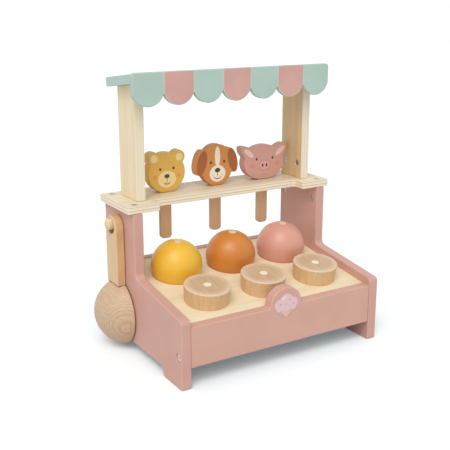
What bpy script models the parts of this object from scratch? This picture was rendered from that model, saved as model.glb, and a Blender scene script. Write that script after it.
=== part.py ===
"""A toy ice cream stand in painted board, birch plywood and beech.

Two side panels carry a sloping tray and a shelf. Two posts on the shelf carry a tilted roof board with a
scalloped valance. Balls and cones sit in the tray, lollies stand in slots in the shelf, and a serving scoop
hangs on a peg.

Units are metres. The stand's own frame has X to the right from its middle, Y back from its front edges and
Z up from the floor. One empty moves that frame so that the world's origin is under the middle of the object.
"""

import math

import bmesh
import bpy
from mathutils import Matrix, Vector

MM = 0.001

# Overall sizes, without the scoop and the shelf's overhangs
stand_width = 300.0 * MM
stand_depth = 208.0 * MM
stand_height = 361.7 * MM

# Clearances: glued or screwed faces, resting faces, bores and slots
glue_gap = 0.3 * MM
rest_gap = 0.3 * MM
bore_gap = 0.3 * MM
slot_gap = 0.6 * MM

# Side panels
panel_thickness = 13.5 * MM
panel_round = 1.6 * MM
front_height = 87.2 * MM
front_corner = 6.0 * MM
column_depth = 88.0 * MM
column_fillet = 8.0 * MM
foot_length = 46.0 * MM
foot_slant = 6.0 * MM
arch_height = 12.7 * MM
foot_corner = 3.0 * MM
foot_edge = 2.5 * MM

# Front and back boards
board_bottom = 26.2 * MM
front_board_top = 77.7 * MM
front_board_thickness = 13.5 * MM
front_board_recess = 1.0 * MM
bump_radius = 24.0 * MM
bump_fillet = 2.5 * MM
back_board_thickness = 12.0 * MM
back_board_inset = 3.4 * MM
back_board_rise = 1.0 * MM
board_round = 1.2 * MM

# Sloping tray, and where its two rows lie along it
tray_slope = math.radians(8.1)
tray_thickness = 9.0 * MM
tray_groove = 4.0 * MM
tray_rear_gap = 0.8 * MM
cone_row_share = 0.228
ball_row_share = 0.674

# Shelf
shelf_underside = 188.7 * MM
shelf_thickness = 10.0 * MM
shelf_overhang = 7.0 * MM
shelf_middle_depth = 68.0 * MM
shelf_wide_end = 38.0 * MM
shelf_corner = 3.0 * MM
shelf_step_round = 4.0 * MM
shelf_step_corner = 2.0 * MM
shelf_round = 1.2 * MM

# Posts
post_inset = 14.5 * MM
post_thickness = 13.0 * MM
post_setback = 20.0 * MM
post_depth = 48.0 * MM
post_round = 0.8 * MM

# Roof board and valance
roof_inset = 2.5 * MM
roof_tilt = math.radians(7.2)
roof_thickness = 12.0 * MM
roof_drop = 1.5 * MM
roof_rear_inset = 12.0 * MM
roof_round = 0.9 * MM
valance_forward = 3.5 * MM
valance_thickness = 7.5 * MM
valance_straight = 19.8 * MM
valance_notch = 1.5 * MM
valance_corner = 4.5 * MM
valance_round = 1.0 * MM
scallop_count = 7
scallop_radius = 21.8 * MM

# Balls
ball_radius = 34.0 * MM
ball_rise = 14.0 * MM

# Cones
cone_top_radius = 29.8 * MM
cone_base_radius = 28.0 * MM
cone_collar_height = 22.5 * MM
cone_rim_round = 1.5 * MM
cone_collar_step = 7.0 * MM
cone_tip_radius = 7.0 * MM
cone_stem_length = 56.0 * MM

# Magnets
magnet_radius = 5.3 * MM
magnet_thickness = 2.8 * MM

# Lollies
lolly_pitch = 78.0 * MM
lolly_thickness = 15.0 * MM
lolly_round = 1.5 * MM
lolly_flat = 0.9 * MM
stick_width = 16.0 * MM
stick_thickness = 7.0 * MM
stick_reach = 64.5 * MM
stick_in_head = 18.0 * MM
stick_corner = 5.0 * MM
stick_round = 0.8 * MM

# Serving scoop and its peg
peg_height = 168.2 * MM
peg_radius = 7.5 * MM
peg_in_panel = 8.0 * MM
peg_beyond_handle = 6.8 * MM
peg_dome = 3.0 * MM
hook_play = 3.0 * MM
eye_rise = 2.5 * MM
handle_width = 32.0 * MM
handle_thickness = 11.5 * MM
handle_round = 1.2 * MM
handle_gap = 0.8 * MM
handle_in_wall = 1.4 * MM
bowl_gap = 1.5 * MM
bowl_floor_gap = 2.8 * MM
bowl_radius = 44.0 * MM
bowl_depth = 35.0 * MM
bowl_wall = 8.5 * MM
bowl_lip = 1.2 * MM

# Fasteners
bolt_radius = 2.0 * MM
bolt_head_radius = 4.0 * MM
bolt_head_height = 2.0 * MM
side_head_radius = 5.2 * MM
side_head_sink = 0.8 * MM
bolt_edge = 10.0 * MM
bolt_past_nut = 1.0 * MM
nut_radius = 4.0 * MM
nut_recess = 0.8 * MM
nut_wall = 2.7 * MM
nut_below_shelf = 19.0 * MM
nut_above_shelf = 22.0 * MM
front_screw_rise = 14.0 * MM
side_screw_bite = 26.0 * MM
roof_screw_bite = 28.0 * MM

# A cutter starts this far outside the face that it cuts
cut_lead = 2.0 * MM

# Facets
arc_step = math.radians(22.5)
scallop_facets = 10
head_facets = 40
ball_facets = 24
round_facets = 24
magnet_facets = 12
small_facets = 8


def fillet_points(before, corner, after, radius):
    """Points of the arc that rounds one corner of an outline."""
    to_before = (before - corner).normalized()
    to_after = (after - corner).normalized()
    angle = to_before.angle(to_after)
    start = corner + to_before * (radius / math.tan(angle / 2))
    bisector = (to_before + to_after).normalized()
    centre = corner + bisector * (radius / math.sin(angle / 2))
    turn = math.pi - angle
    steps = max(2, math.ceil(turn / arc_step))
    spoke = start - centre
    if to_before.cross(to_after) > 0:
        turn = -turn
    points = []
    for k in range(steps + 1):
        points.append(centre + Matrix.Rotation(turn * k / steps, 2) @ spoke)
    return points


def rounded_outline(corners):
    """An outline from (a, b, radius) corners, each with its arc."""
    places = [Vector((a, b)) for a, b, _ in corners]
    outline = []
    for k, (_, _, radius) in enumerate(corners):
        if radius > 0:
            outline += fillet_points(places[k - 1], places[k], places[(k + 1) % len(places)], radius)
        else:
            outline.append(places[k])
    return [tuple(p) for p in outline]


def arc(centre_a, centre_b, radius, start, end, steps):
    """Points along an arc, with both ends."""
    points = []
    for k in range(steps + 1):
        angle = start + (end - start) * k / steps
        points.append((centre_a + radius * math.cos(angle), centre_b + radius * math.sin(angle)))
    return points


def rectangle(left, low, right, high):
    """The outline of a rectangle."""
    return [(left, low), (right, low), (right, high), (left, high)]


def slab_mesh(name, outline, low, high, axis):
    """A flat board: an outline swept from low to high along X, Y or Z."""
    point = {
        "X": lambda a, b, h: Vector((h, a, b)),
        "Y": lambda a, b, h: Vector((a, h, b)),
        "Z": lambda a, b, h: Vector((a, b, h)),
    }[axis]
    shape = bmesh.new()
    face = shape.faces.new([shape.verts.new(point(a, b, low)) for a, b in outline])
    swept = bmesh.ops.extrude_face_region(shape, geom=[face])
    lifted = [v for v in swept["geom"] if isinstance(v, bmesh.types.BMVert)]
    bmesh.ops.translate(shape, verts=lifted, vec=point(0, 0, high) - point(0, 0, low))
    bmesh.ops.recalc_face_normals(shape, faces=shape.faces)
    mesh = bpy.data.meshes.new(name)
    shape.to_mesh(mesh)
    shape.free()
    return mesh


def turned_mesh(name, profile, facets, lay=None):
    """A turned piece: a profile of (radius, height) spun about Z, then laid over by a matrix if given."""
    shape = bmesh.new()
    points = [shape.verts.new((radius, 0.0, height)) for radius, height in profile]
    edges = [shape.edges.new(pair) for pair in zip(points, points[1:])]
    bmesh.ops.spin(
        shape,
        geom=points + edges,
        cent=(0, 0, 0),
        axis=(0, 0, 1),
        steps=facets,
        angle=math.tau,
        use_merge=True,
    )
    bmesh.ops.remove_doubles(shape, verts=shape.verts, dist=0.001 * MM)
    bmesh.ops.recalc_face_normals(shape, faces=shape.faces)
    if lay is not None:
        bmesh.ops.transform(shape, matrix=lay, verts=shape.verts)
    mesh = bpy.data.meshes.new(name)
    shape.to_mesh(mesh)
    shape.free()
    mesh.shade_smooth()
    mesh.set_sharp_from_angle(angle=math.radians(30))
    return mesh


def rod_mesh(name, radius, low, high, facets=small_facets):
    """A plain round rod along Z."""
    return turned_mesh(name, [(0, low), (radius, low), (radius, high), (0, high)], facets)


def bore_mesh(name, radius, low, high, facets=small_facets):
    """A round cutter along Z. Its flats lie at the radius, so what fits in the bore stays clear of them."""
    return rod_mesh(name, radius / math.cos(math.pi / facets), low, high, facets)


def joined_mesh(name, pieces):
    """One mesh from (mesh, matrix) pieces that don't touch, for a cutter that repeats."""
    shape = bmesh.new()
    for mesh, matrix in pieces:
        first = len(shape.verts)
        shape.from_mesh(mesh)
        shape.verts.ensure_lookup_table()
        bmesh.ops.transform(shape, matrix=matrix, verts=shape.verts[first:])
    joined = bpy.data.meshes.new(name)
    shape.to_mesh(joined)
    shape.free()
    return joined


def bolt_mesh(name, length, head_radius=bolt_head_radius):
    """A pan head bolt or screw. Its head's top is at the origin and its shank runs down -Z."""
    profile = [
        (0, 0),
        (head_radius, 0),
        (head_radius, -bolt_head_height),
        (bolt_radius, -bolt_head_height),
        (bolt_radius, -length),
        (0, -length),
    ]
    return turned_mesh(name, profile, small_facets)


def bolt_bore_mesh(name, length, head_radius=bolt_head_radius):
    """The counterbore and bore that take a bolt's head and shank."""
    spread = 1 / math.cos(math.pi / small_facets)
    head = (head_radius + bore_gap) * spread
    shank = (bolt_radius + bore_gap) * spread
    seat = -glue_gap - bolt_head_height - rest_gap
    profile = [(0, cut_lead), (head, cut_lead), (head, seat), (shank, seat), (shank, -length), (0, -length)]
    return turned_mesh(name, profile, small_facets)


def finish(name, colour, roughness, metallic=0.0):
    """A Principled material."""
    material = bpy.data.materials.new(name)
    material.use_nodes = True
    shader = material.node_tree.nodes["Principled BSDF"]
    shader.inputs["Base Color"].default_value = (*colour, 1.0)
    shader.inputs["Roughness"].default_value = roughness
    shader.inputs["Metallic"].default_value = metallic
    material.diffuse_color = (*colour, 1.0)
    return material


def place(name, mesh, material, location=(0, 0, 0), rotation=(0, 0, 0), parent=None):
    """Put a mesh in the scene under its parent."""
    piece = bpy.data.objects.new(name, mesh)
    piece.parent = parent or stand
    piece.location = location
    piece.rotation_euler = rotation
    if material is not None and not mesh.materials:
        mesh.materials.append(material)
    bpy.context.scene.collection.objects.link(piece)
    return piece


def soften(piece, width, segments=2):
    """Round a board's sharp edges over."""
    bevel = piece.modifiers.new("rounded edges", "BEVEL")
    bevel.width = width
    bevel.segments = segments
    bevel.limit_method = "ANGLE"
    bevel.angle_limit = math.radians(40)


def cut(piece, name, mesh, location=(0, 0, 0), rotation=(0, 0, 0)):
    """Cut a shape out of a piece with an exact Boolean."""
    cutter = place(name, mesh, None, location, rotation, piece.parent)
    cutter.display_type = "WIRE"
    cutter.hide_render = True
    boolean = piece.modifiers.new(name, "BOOLEAN")
    boolean.operation = "DIFFERENCE"
    boolean.solver = "EXACT"
    boolean.object = cutter


def at(x, y, z):
    """The matrix that moves a shape to a place."""
    return Matrix.Translation((x, y, z))


lay_along_x = Matrix.Rotation(math.pi / 2, 4, "Y")
lay_to_left = Matrix.Rotation(-math.pi / 2, 4, "Y")

for thing in list(bpy.data.objects):
    bpy.data.objects.remove(thing, do_unlink=True)

pink_paint = finish("pink paint", (0.65, 0.37, 0.30), 0.5)
mint_paint = finish("mint paint", (0.43, 0.59, 0.51), 0.5)
birch_ply = finish("birch plywood", (0.80, 0.66, 0.45), 0.55)
beech = finish("beech", (0.62, 0.40, 0.22), 0.5)
yellow_paint = finish("yellow paint", (0.80, 0.47, 0.06), 0.4)
orange_paint = finish("orange paint", (0.62, 0.21, 0.03), 0.4)
rose_paint = finish("rose paint", (0.69, 0.33, 0.25), 0.4)
white_cap = finish("white cap", (0.85, 0.83, 0.76), 0.4)
steel = finish("steel", (0.30, 0.29, 0.28), 0.35, 1.0)

# Places that several pieces share
half_width = stand_width / 2
inner_face = half_width - panel_thickness
panel_middle = half_width - panel_thickness / 2
post_middle = half_width - post_inset - post_thickness / 2
column_front = stand_depth - column_depth
column_middle = (column_front + stand_depth) / 2
tray_start = front_board_recess + front_board_thickness
back_board_front = stand_depth - back_board_inset - back_board_thickness
shelf_top = shelf_underside + shelf_thickness
shelf_middle_front = stand_depth - shelf_middle_depth
lolly_line = (shelf_middle_front + stand_depth) / 2
post_front = column_front + post_setback
post_rear = post_front + post_depth
valance_front = column_front - valance_forward
roof_front = valance_front + valance_thickness + glue_gap
bowl_height = bowl_floor_gap + bowl_radius


def tray_height(y):
    """Height of the tray's upper face at a distance from the front."""
    return front_board_top + (y - tray_start) * math.tan(tray_slope)


def roof_height(y):
    """Height of the roof board's upper face at a distance from the front."""
    return stand_height - roof_drop - (y - roof_front) * math.tan(roof_tilt)


tray_turn = (tray_slope, 0, 0)
roof_section = roof_thickness / math.cos(roof_tilt)
back_board_top = tray_height(back_board_front) + back_board_rise

# The two rows and three columns of the tray. The ball holes stand evenly between the panels.
ball_hole_radius = math.sqrt((ball_radius + rest_gap) ** 2 - ball_rise**2)
cone_stem_radius = cone_base_radius - cone_collar_step
cone_row = tray_start + cone_row_share * (back_board_front - tray_start)
ball_row = tray_start + ball_row_share * (back_board_front - tray_start)
column_pitch = (inner_face + ball_hole_radius) / 2

# Where the fasteners go
panel_bolts = [column_front + bolt_edge, stand_depth - bolt_edge]
post_bolts = [post_front + bolt_edge, post_rear - bolt_edge]
panel_nut_height = shelf_underside - nut_below_shelf
post_nut_height = shelf_top + nut_above_shelf
front_screw = (front_board_recess + front_board_thickness / 2, board_bottom + front_screw_rise)
back_screw = (back_board_front + back_board_thickness / 2, (board_bottom + back_board_top) / 2)

# The world's origin is under the middle of the whole object, with its scoop and the shelf's ends
reach_left = max(bowl_gap + bowl_depth, shelf_overhang)
reach_back = max(stand_depth, column_middle + bowl_radius)
stand = bpy.data.objects.new("stand", None)
stand.location = ((reach_left - shelf_overhang) / 2, -reach_back / 2, 0)
bpy.context.scene.collection.objects.link(stand)


def guide(name, location, rotation=(0, 0, 0)):
    """An empty that carries the pieces of one loose or moving group."""
    return place(name, None, None, location, rotation)


def nut_length(board_thickness):
    """A barrel nut is as long as its board allows."""
    return board_thickness - nut_recess - nut_wall


def nut_bores(board, name, side, face, board_thickness, rows, height):
    """The blind holes that take a pair of barrel nuts, open on a face that looks inward."""
    mouth = side * (face - cut_lead)
    end = side * (face + nut_recess + nut_length(board_thickness) + rest_gap)
    bore = bore_mesh(name + "_nut", nut_radius + bore_gap, min(mouth, end), max(mouth, end))
    bores = [(bore, at(0, y, height) @ lay_along_x) for y in rows]
    cut(board, name + "_nuts", joined_mesh(name + "_nuts", bores))


def bolt_bores(board, name, x, low, high, rows):
    """The upright bores for a pair of bolts."""
    bore = bore_mesh(name + "_bolt", bolt_radius + bore_gap, low, high)
    cut(board, name + "_bolts", joined_mesh(name + "_bolts", [(bore, at(x, y, 0)) for y in rows]))


def end_bores(board, name, y, z):
    """The bores in both ends of a cross board that take its side screws."""
    length = glue_gap + side_screw_bite + rest_gap
    bore = bore_mesh(name + "_bore", bolt_radius + bore_gap, -length, length)
    ends = [(bore, at(side * inner_face, y, z) @ lay_along_x) for side in (-1, 1)]
    cut(board, name, joined_mesh(name, ends))


def side_panel(name, side):
    """A side panel: two feet, a sloping front and the column that carries the shelf."""
    top = shelf_underside - rest_gap
    column_base = front_height + column_front * math.tan(tray_slope)
    rear_foot = stand_depth - foot_length
    outline = rounded_outline(
        [
            (0, 0, foot_edge),
            (0, front_height, front_corner),
            (column_front, column_base, column_fillet),
            (column_front, top, 0),
            (stand_depth, top, 0),
            (stand_depth, 0, foot_edge),
            (rear_foot, 0, foot_corner),
            (rear_foot - foot_slant, arch_height, foot_corner),
            (foot_length + foot_slant, arch_height, foot_corner),
            (foot_length, 0, foot_corner),
        ]
    )
    start = inner_face if side > 0 else -half_width
    panel = place(name, slab_mesh(name, outline, 0, panel_thickness, "X"), pink_paint, (start, 0, 0))
    soften(panel, panel_round)

    groove_start = tray_start - rest_gap
    roof = [(y, tray_height(y) + rest_gap) for y in (groove_start, back_board_front)]
    depth = tray_thickness / math.cos(tray_slope) + 2 * rest_gap
    groove = roof + [(y, z - depth) for y, z in reversed(roof)]
    mouth = side * (inner_face - cut_lead) - start
    end = side * (inner_face + tray_groove) - start
    groove_mesh = slab_mesh(name + "_groove", groove, min(mouth, end), max(mouth, end), "X")
    cut(panel, name + "_groove", groove_mesh, (start, 0, 0))

    nut_bores(panel, name, side, inner_face, panel_thickness, panel_bolts, panel_nut_height)
    bolt_bottom = panel_nut_height - nut_radius - bolt_past_nut - rest_gap
    bolt_bores(panel, name, side * panel_middle, bolt_bottom, shelf_underside + cut_lead, panel_bolts)
    screw = bolt_bore_mesh(name + "_screw", panel_thickness + cut_lead, side_head_radius)
    lay = lay_along_x if side > 0 else lay_to_left
    mouth = side * (half_width - side_head_sink)
    screws = [(screw, at(mouth, y, z) @ lay) for y, z in (front_screw, back_screw)]
    cut(panel, name + "_screws", joined_mesh(name + "_screws", screws))
    return panel


def front_board():
    """The front board, with a round bump in the middle of its top edge."""
    half = inner_face - glue_gap
    foot = bump_radius + bump_fillet
    lift = math.asin(bump_fillet / foot)
    toe = foot * math.cos(lift)
    toe_height = front_board_top + bump_fillet
    outline = [(-half, board_bottom), (half, board_bottom), (half, front_board_top)]
    outline += arc(toe, toe_height, bump_fillet, -math.pi / 2, -math.pi + lift, 3)
    outline += arc(0, front_board_top, bump_radius, lift, math.pi - lift, 16)[1:-1]
    outline += arc(-toe, toe_height, bump_fillet, -lift, -math.pi / 2, 3)
    outline.append((-half, front_board_top))
    mesh = slab_mesh("front_board", outline, 0, front_board_thickness, "Y")
    board = place("front_board", mesh, pink_paint, (0, front_board_recess, 0))
    soften(board, board_round)
    end_bores(board, "front_board_bores", *front_screw)


def back_board():
    """The plain back board behind the tray."""
    half = inner_face - glue_gap
    outline = rectangle(-half, board_bottom, half, back_board_top)
    mesh = slab_mesh("back_board", outline, 0, back_board_thickness, "Y")
    board = place("back_board", mesh, pink_paint, (0, back_board_front, 0))
    soften(board, board_round, 1)
    end_bores(board, "back_board_bores", *back_screw)


def tray():
    """The sloping tray, let into grooves, with a row of cone holes and a row of ball holes."""
    ends = (tray_start + glue_gap, back_board_front - tray_rear_gap)
    depth = tray_thickness / math.cos(tray_slope)
    upper = [(y, tray_height(y)) for y in ends]
    outline = upper + [(y, z - depth) for y, z in reversed(upper)]
    half = inner_face + tray_groove - rest_gap
    board = place("tray", slab_mesh("tray", outline, -half, half, "X"), birch_ply)
    holes = []
    for row, radius in ((cone_row, cone_stem_radius + slot_gap), (ball_row, ball_hole_radius)):
        hole = bore_mesh("tray_hole", radius, -2 * tray_thickness, tray_thickness, round_facets)
        for column in (-1, 0, 1):
            spot = at(column * column_pitch, row, tray_height(row))
            holes.append((hole, spot @ Matrix.Rotation(tray_slope, 4, "X")))
    cut(board, "tray_holes", joined_mesh("tray_holes", holes))


def shelf():
    """The shelf: deeper at its ends, where it sits on the columns, with a slot for each lolly."""
    end = half_width + shelf_overhang
    step = half_width - shelf_wide_end
    outline = rounded_outline(
        [
            (-end, stand_depth, shelf_corner),
            (-end, column_front, shelf_corner),
            (-step, column_front, shelf_step_corner),
            (-step, shelf_middle_front, shelf_step_round),
            (step, shelf_middle_front, shelf_step_round),
            (step, column_front, shelf_step_corner),
            (end, column_front, shelf_corner),
            (end, stand_depth, shelf_corner),
        ]
    )
    mesh = slab_mesh("shelf", outline, 0, shelf_thickness, "Z")
    board = place("shelf", mesh, birch_ply, (0, 0, shelf_underside))
    soften(board, shelf_round)
    across = stick_width / 2 + slot_gap
    along = stick_thickness / 2 + slot_gap
    slot_outline = rectangle(-across, -along, across, along)
    slot = slab_mesh("slot", slot_outline, -cut_lead, shelf_thickness + cut_lead, "Z")
    slots = [(slot, at(k * lolly_pitch, lolly_line, 0)) for k in (-1, 0, 1)]
    cut(board, "shelf_slots", joined_mesh("shelf_slots", slots), (0, 0, shelf_underside))
    bore = bolt_bore_mesh("shelf_bore", shelf_thickness + cut_lead)
    over = Matrix.Rotation(math.pi, 4, "X")
    bores = []
    for side in (-1, 1):
        bores += [(bore, at(side * panel_middle, y, shelf_top)) for y in panel_bolts]
        bores += [(bore, at(side * post_middle, y, shelf_underside) @ over) for y in post_bolts]
    cut(board, "shelf_bores", joined_mesh("shelf_bores", bores))


def roof_screw_place(side):
    """Where a roof screw's bore starts, square to the tilted board."""
    y = (post_front + post_rear) / 2
    return (side * post_middle, y, roof_height(y)), (-roof_tilt, 0, 0)


def post(name, side):
    """A plywood post, its top cut to the roof board's tilt."""
    foot = shelf_top + rest_gap
    reach = roof_section + rest_gap
    outline = [
        (post_front, foot),
        (post_rear, foot),
        (post_rear, roof_height(post_rear) - reach),
        (post_front, roof_height(post_front) - reach),
    ]
    half = post_thickness / 2
    mesh = slab_mesh(name, outline, -half, half, "X")
    piece = place(name, mesh, birch_ply, (side * post_middle, 0, 0))
    soften(piece, post_round, 1)
    nut_bores(piece, name, side, post_middle - half, post_thickness, post_bolts, post_nut_height)
    bolt_top = post_nut_height + nut_radius + bolt_past_nut + rest_gap
    bolt_bores(piece, name, side * post_middle, foot - cut_lead, bolt_top, post_bolts)
    length = glue_gap + roof_thickness + roof_screw_bite + rest_gap
    cut(piece, name + "_screw", bolt_bore_mesh(name + "_screw", length), *roof_screw_place(side))


def roof_board():
    """The roof board, higher at the front, where the valance hides its edge."""
    roof_rear = stand_depth - roof_rear_inset
    upper = [(y, roof_height(y)) for y in (roof_front, roof_rear)]
    outline = upper + [(y, z - roof_section) for y, z in reversed(upper)]
    half = half_width - roof_inset
    board = place("roof_board", slab_mesh("roof_board", outline, -half, half, "X"), mint_paint)
    soften(board, roof_round)
    bore = bolt_bore_mesh("roof_bore", roof_thickness + cut_lead)
    bores = []
    for side in (-1, 1):
        spot, turn = roof_screw_place(side)
        bores.append((bore, at(*spot) @ Matrix.Rotation(turn[0], 4, "X")))
    cut(board, "roof_bores", joined_mesh("roof_bores", bores))


def valance():
    """The board across the front of the roof, with a row of round scallops below."""
    half = half_width - roof_inset
    half_scallop = half / scallop_count
    radius = max(scallop_radius, half_scallop)
    centre = stand_height - valance_straight
    at_end = math.acos(half_scallop / radius)
    at_notch = math.acos((half_scallop - valance_notch / 2) / radius)
    notch_height = centre - radius * math.sin(at_notch) + valance_notch / 2
    outline = rounded_outline(
        [
            (half, stand_height - valance_corner, 0),
            (half, stand_height, valance_corner),
            (-half, stand_height, valance_corner),
            (-half, stand_height - valance_corner, 0),
        ]
    )[1:-1]
    for k in range(scallop_count):
        middle = -half + half_scallop * (2 * k + 1)
        start = -math.pi + (at_end if k == 0 else at_notch)
        end = -(at_end if k == scallop_count - 1 else at_notch)
        outline += arc(middle, centre, radius, start, end, scallop_facets)
        if k < scallop_count - 1:
            outline.append((middle + half_scallop, notch_height))
    mesh = slab_mesh("scalloped_valance", outline, 0, valance_thickness, "Y")
    board = place("scalloped_valance", mesh, mint_paint, (0, valance_front, 0))
    soften(board, valance_round, 1)


def fasteners():
    """Bolts and barrel nuts at the shelf, and screws at the cross boards and the roof."""
    reach = nut_radius + bolt_past_nut - glue_gap
    panel_length = shelf_top - panel_nut_height + reach
    post_length = post_nut_height - shelf_underside + reach
    panel_bolt = bolt_mesh("panel_bolt", panel_length)
    post_bolt = bolt_mesh("post_bolt", post_length)
    side_screw_length = panel_thickness + side_screw_bite - side_head_sink
    side_screw = bolt_mesh("side_screw", side_screw_length, side_head_radius)
    roof_screw = bolt_mesh("roof_screw", roof_thickness + roof_screw_bite)
    panel_nut = rod_mesh("panel_nut", nut_radius, 0, nut_length(panel_thickness))
    post_nut = rod_mesh("post_nut", nut_radius, 0, nut_length(post_thickness))
    through = bore_mesh("through_bore", bolt_radius + bore_gap, -2 * nut_radius, 2 * nut_radius)
    post_face = post_middle - post_thickness / 2
    for side, word in ((-1, "left"), (1, "right")):
        aside = (0, side * math.pi / 2, 0)
        for y, end in zip(panel_bolts, ("front", "rear")):
            spot = (side * panel_middle, y, shelf_top - glue_gap)
            place(f"{word}_panel_bolt_{end}", panel_bolt, steel, spot)
            spot = (side * (inner_face + nut_recess), y, panel_nut_height)
            nut = place(f"{word}_panel_nut_{end}", panel_nut, steel, spot, aside)
            cut(nut, f"{word}_panel_nut_{end}_bore", through, (side * panel_middle, y, panel_nut_height))
        for y, end in zip(post_bolts, ("front", "rear")):
            spot = (side * post_middle, y, shelf_underside + glue_gap)
            place(f"{word}_post_bolt_{end}", post_bolt, steel, spot, (math.pi, 0, 0))
            spot = (side * (post_face + nut_recess), y, post_nut_height)
            nut = place(f"{word}_post_nut_{end}", post_nut, steel, spot, aside)
            cut(nut, f"{word}_post_nut_{end}_bore", through, (side * post_middle, y, post_nut_height))
        for (y, z), end in zip((front_screw, back_screw), ("front", "rear")):
            spot = (side * (half_width - side_head_sink - glue_gap), y, z)
            place(f"{word}_side_screw_{end}", side_screw, steel, spot, aside)
        spot, turn = roof_screw_place(side)
        lowered = Vector(spot) - Vector((0, math.sin(roof_tilt), math.cos(roof_tilt))) * glue_gap
        place(f"{word}_roof_screw", roof_screw, steel, lowered, turn)


side_panel("left_side_panel", -1)
side_panel("right_side_panel", 1)
front_board()
back_board()
tray()
shelf()
post("left_post", -1)
post("right_post", 1)
roof_board()
valance()
fasteners()

magnet = rod_mesh("magnet", magnet_radius, -magnet_thickness, 0, magnet_facets)
pocket_radius = magnet_radius + bore_gap
pocket_depth = magnet_thickness + glue_gap


def balls():
    """Three balls, each resting on the rim of its hole, with a magnet above and one below."""
    level = math.sqrt(ball_radius**2 - pocket_radius**2)
    tilt = math.asin(pocket_radius / ball_radius)
    profile = [(0, -level + pocket_depth), (pocket_radius, -level + pocket_depth)]
    profile += arc(0, 0, ball_radius, -math.pi / 2 + tilt, math.pi / 2 - tilt, ball_facets // 2)
    profile += [(pocket_radius, level - pocket_depth), (0, level - pocket_depth)]
    above_rim = Matrix.Rotation(tray_slope, 3, "X") @ Vector((0, 0, ball_rise))
    colours = ((-1, "yellow", yellow_paint), (0, "orange", orange_paint), (1, "pink", rose_paint))
    for column, word, paint in colours:
        spot = Vector((column * column_pitch, ball_row, tray_height(ball_row))) + above_rim
        seat = guide(f"{word}_ball_seat", spot, tray_turn)
        place(f"{word}_ball", turned_mesh(f"{word}_ball", profile, ball_facets), paint, parent=seat)
        place(f"{word}_ball_top_magnet", magnet, white_cap, (0, 0, level), parent=seat)
        place(f"{word}_ball_lower_magnet", magnet, white_cap, (0, 0, -level), (math.pi, 0, 0), seat)


def cones():
    """Three cones, whose collars rest on the tray, each with a magnet in its top."""
    profile = [
        (0, -cone_stem_length),
        (cone_tip_radius, -cone_stem_length),
        (cone_stem_radius, -tray_thickness),
        (cone_stem_radius, rest_gap),
        (cone_base_radius, rest_gap),
    ]
    rim = cone_top_radius - cone_rim_round
    profile += arc(rim, cone_collar_height - cone_rim_round, cone_rim_round, 0, math.pi / 2, 2)
    profile += [
        (pocket_radius, cone_collar_height),
        (pocket_radius, cone_collar_height - pocket_depth),
        (0, cone_collar_height - pocket_depth),
    ]
    mesh = turned_mesh("cone", profile, round_facets)
    for column, word in ((-1, "left"), (0, "middle"), (1, "right")):
        spot = (column * column_pitch, cone_row, tray_height(cone_row))
        seat = guide(f"{word}_cone_seat", spot, tray_turn)
        place(f"{word}_cone", mesh, beech, parent=seat)
        place(f"{word}_cone_magnet", magnet, white_cap, (0, 0, cone_collar_height), parent=seat)


def ray_exit(shape, angle):
    """How far a ray from the head's middle runs before it leaves an oval or a leaf, or 0 where it misses.

    A leaf is what two equal discs share. The ray is measured in the shape's own frame.
    """
    kind, x, z, across, up, turn = shape
    turn = math.radians(turn)
    start = Matrix.Rotation(-turn, 2) @ Vector((-x, -z))
    way = Vector((math.cos(angle - turn), math.sin(angle - turn)))
    ovals = [(0, across, up)]
    if kind == "leaf":
        disc = (across**2 + up**2) / (2 * across)
        ovals = [(disc - across, disc, disc), (across - disc, disc, disc)]
    enter = 0.0
    leave = math.inf
    for middle, a, b in ovals:
        p = Vector(((start.x - middle) / a, start.y / b))
        d = Vector((way.x / a, way.y / b))
        inside = p.dot(d) ** 2 - d.dot(d) * (p.dot(p) - 1)
        if inside <= 0:
            return 0.0
        enter = max(enter, (-p.dot(d) - math.sqrt(inside)) / d.dot(d))
        leave = min(leave, (-p.dot(d) + math.sqrt(inside)) / d.dot(d))
    return leave if leave > enter else 0.0


def head_outline(shapes):
    """The outline round a group of overlapping shapes, seen from the head's middle, with a flat chin."""
    def outermost(angle):
        reaches = [ray_exit(shape, angle) for shape in shapes]
        return max(reaches), reaches.index(max(reaches))

    step = math.tau / head_facets
    angles = []
    for k in range(head_facets):
        low = (k + 0.5) * step
        high = low + step
        angles.append(low)
        below = outermost(low)[1]
        if below != outermost(high)[1]:
            for _ in range(20):
                middle = (low + high) / 2
                if outermost(middle)[1] == below:
                    low = middle
                else:
                    high = middle
            angles.append(high)
    following = angles[1:] + angles[:1]
    spaced = [a for a, after in zip(angles, following) if (after - a) % math.tau > 0.3 * step]
    points = [(outermost(a)[0] * math.cos(a), outermost(a)[0] * math.sin(a)) for a in spaced]
    chin = min(z for _, z in points) + lolly_flat
    return [(x, max(z, chin) - chin + rest_gap) for x, z in points]


# Each head's place in the row, its paint and the shapes of its outline, in millimetres and degrees. A shape
# has a kind, x, z, half width, half height and turn.
heads = {
    "bear": (
        -1,
        yellow_paint,
        [("oval", 0, 0, 27.5, 27, 0), ("oval", -18.5, 20, 9, 9, 0), ("oval", 18.5, 20, 9, 9, 0)],
    ),
    "puppy": (
        0,
        orange_paint,
        [("oval", 0, 0, 25, 29, 0), ("oval", -24.5, 5, 8, 18, -14), ("oval", 24.5, 5, 8, 18, 14)],
    ),
    "piglet": (
        1,
        rose_paint,
        [("oval", 0, -2, 34, 25, 0), ("leaf", -27, 13, 8, 15, 52), ("leaf", 27, 13, 8, 15, -52)],
    ),
}


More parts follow.
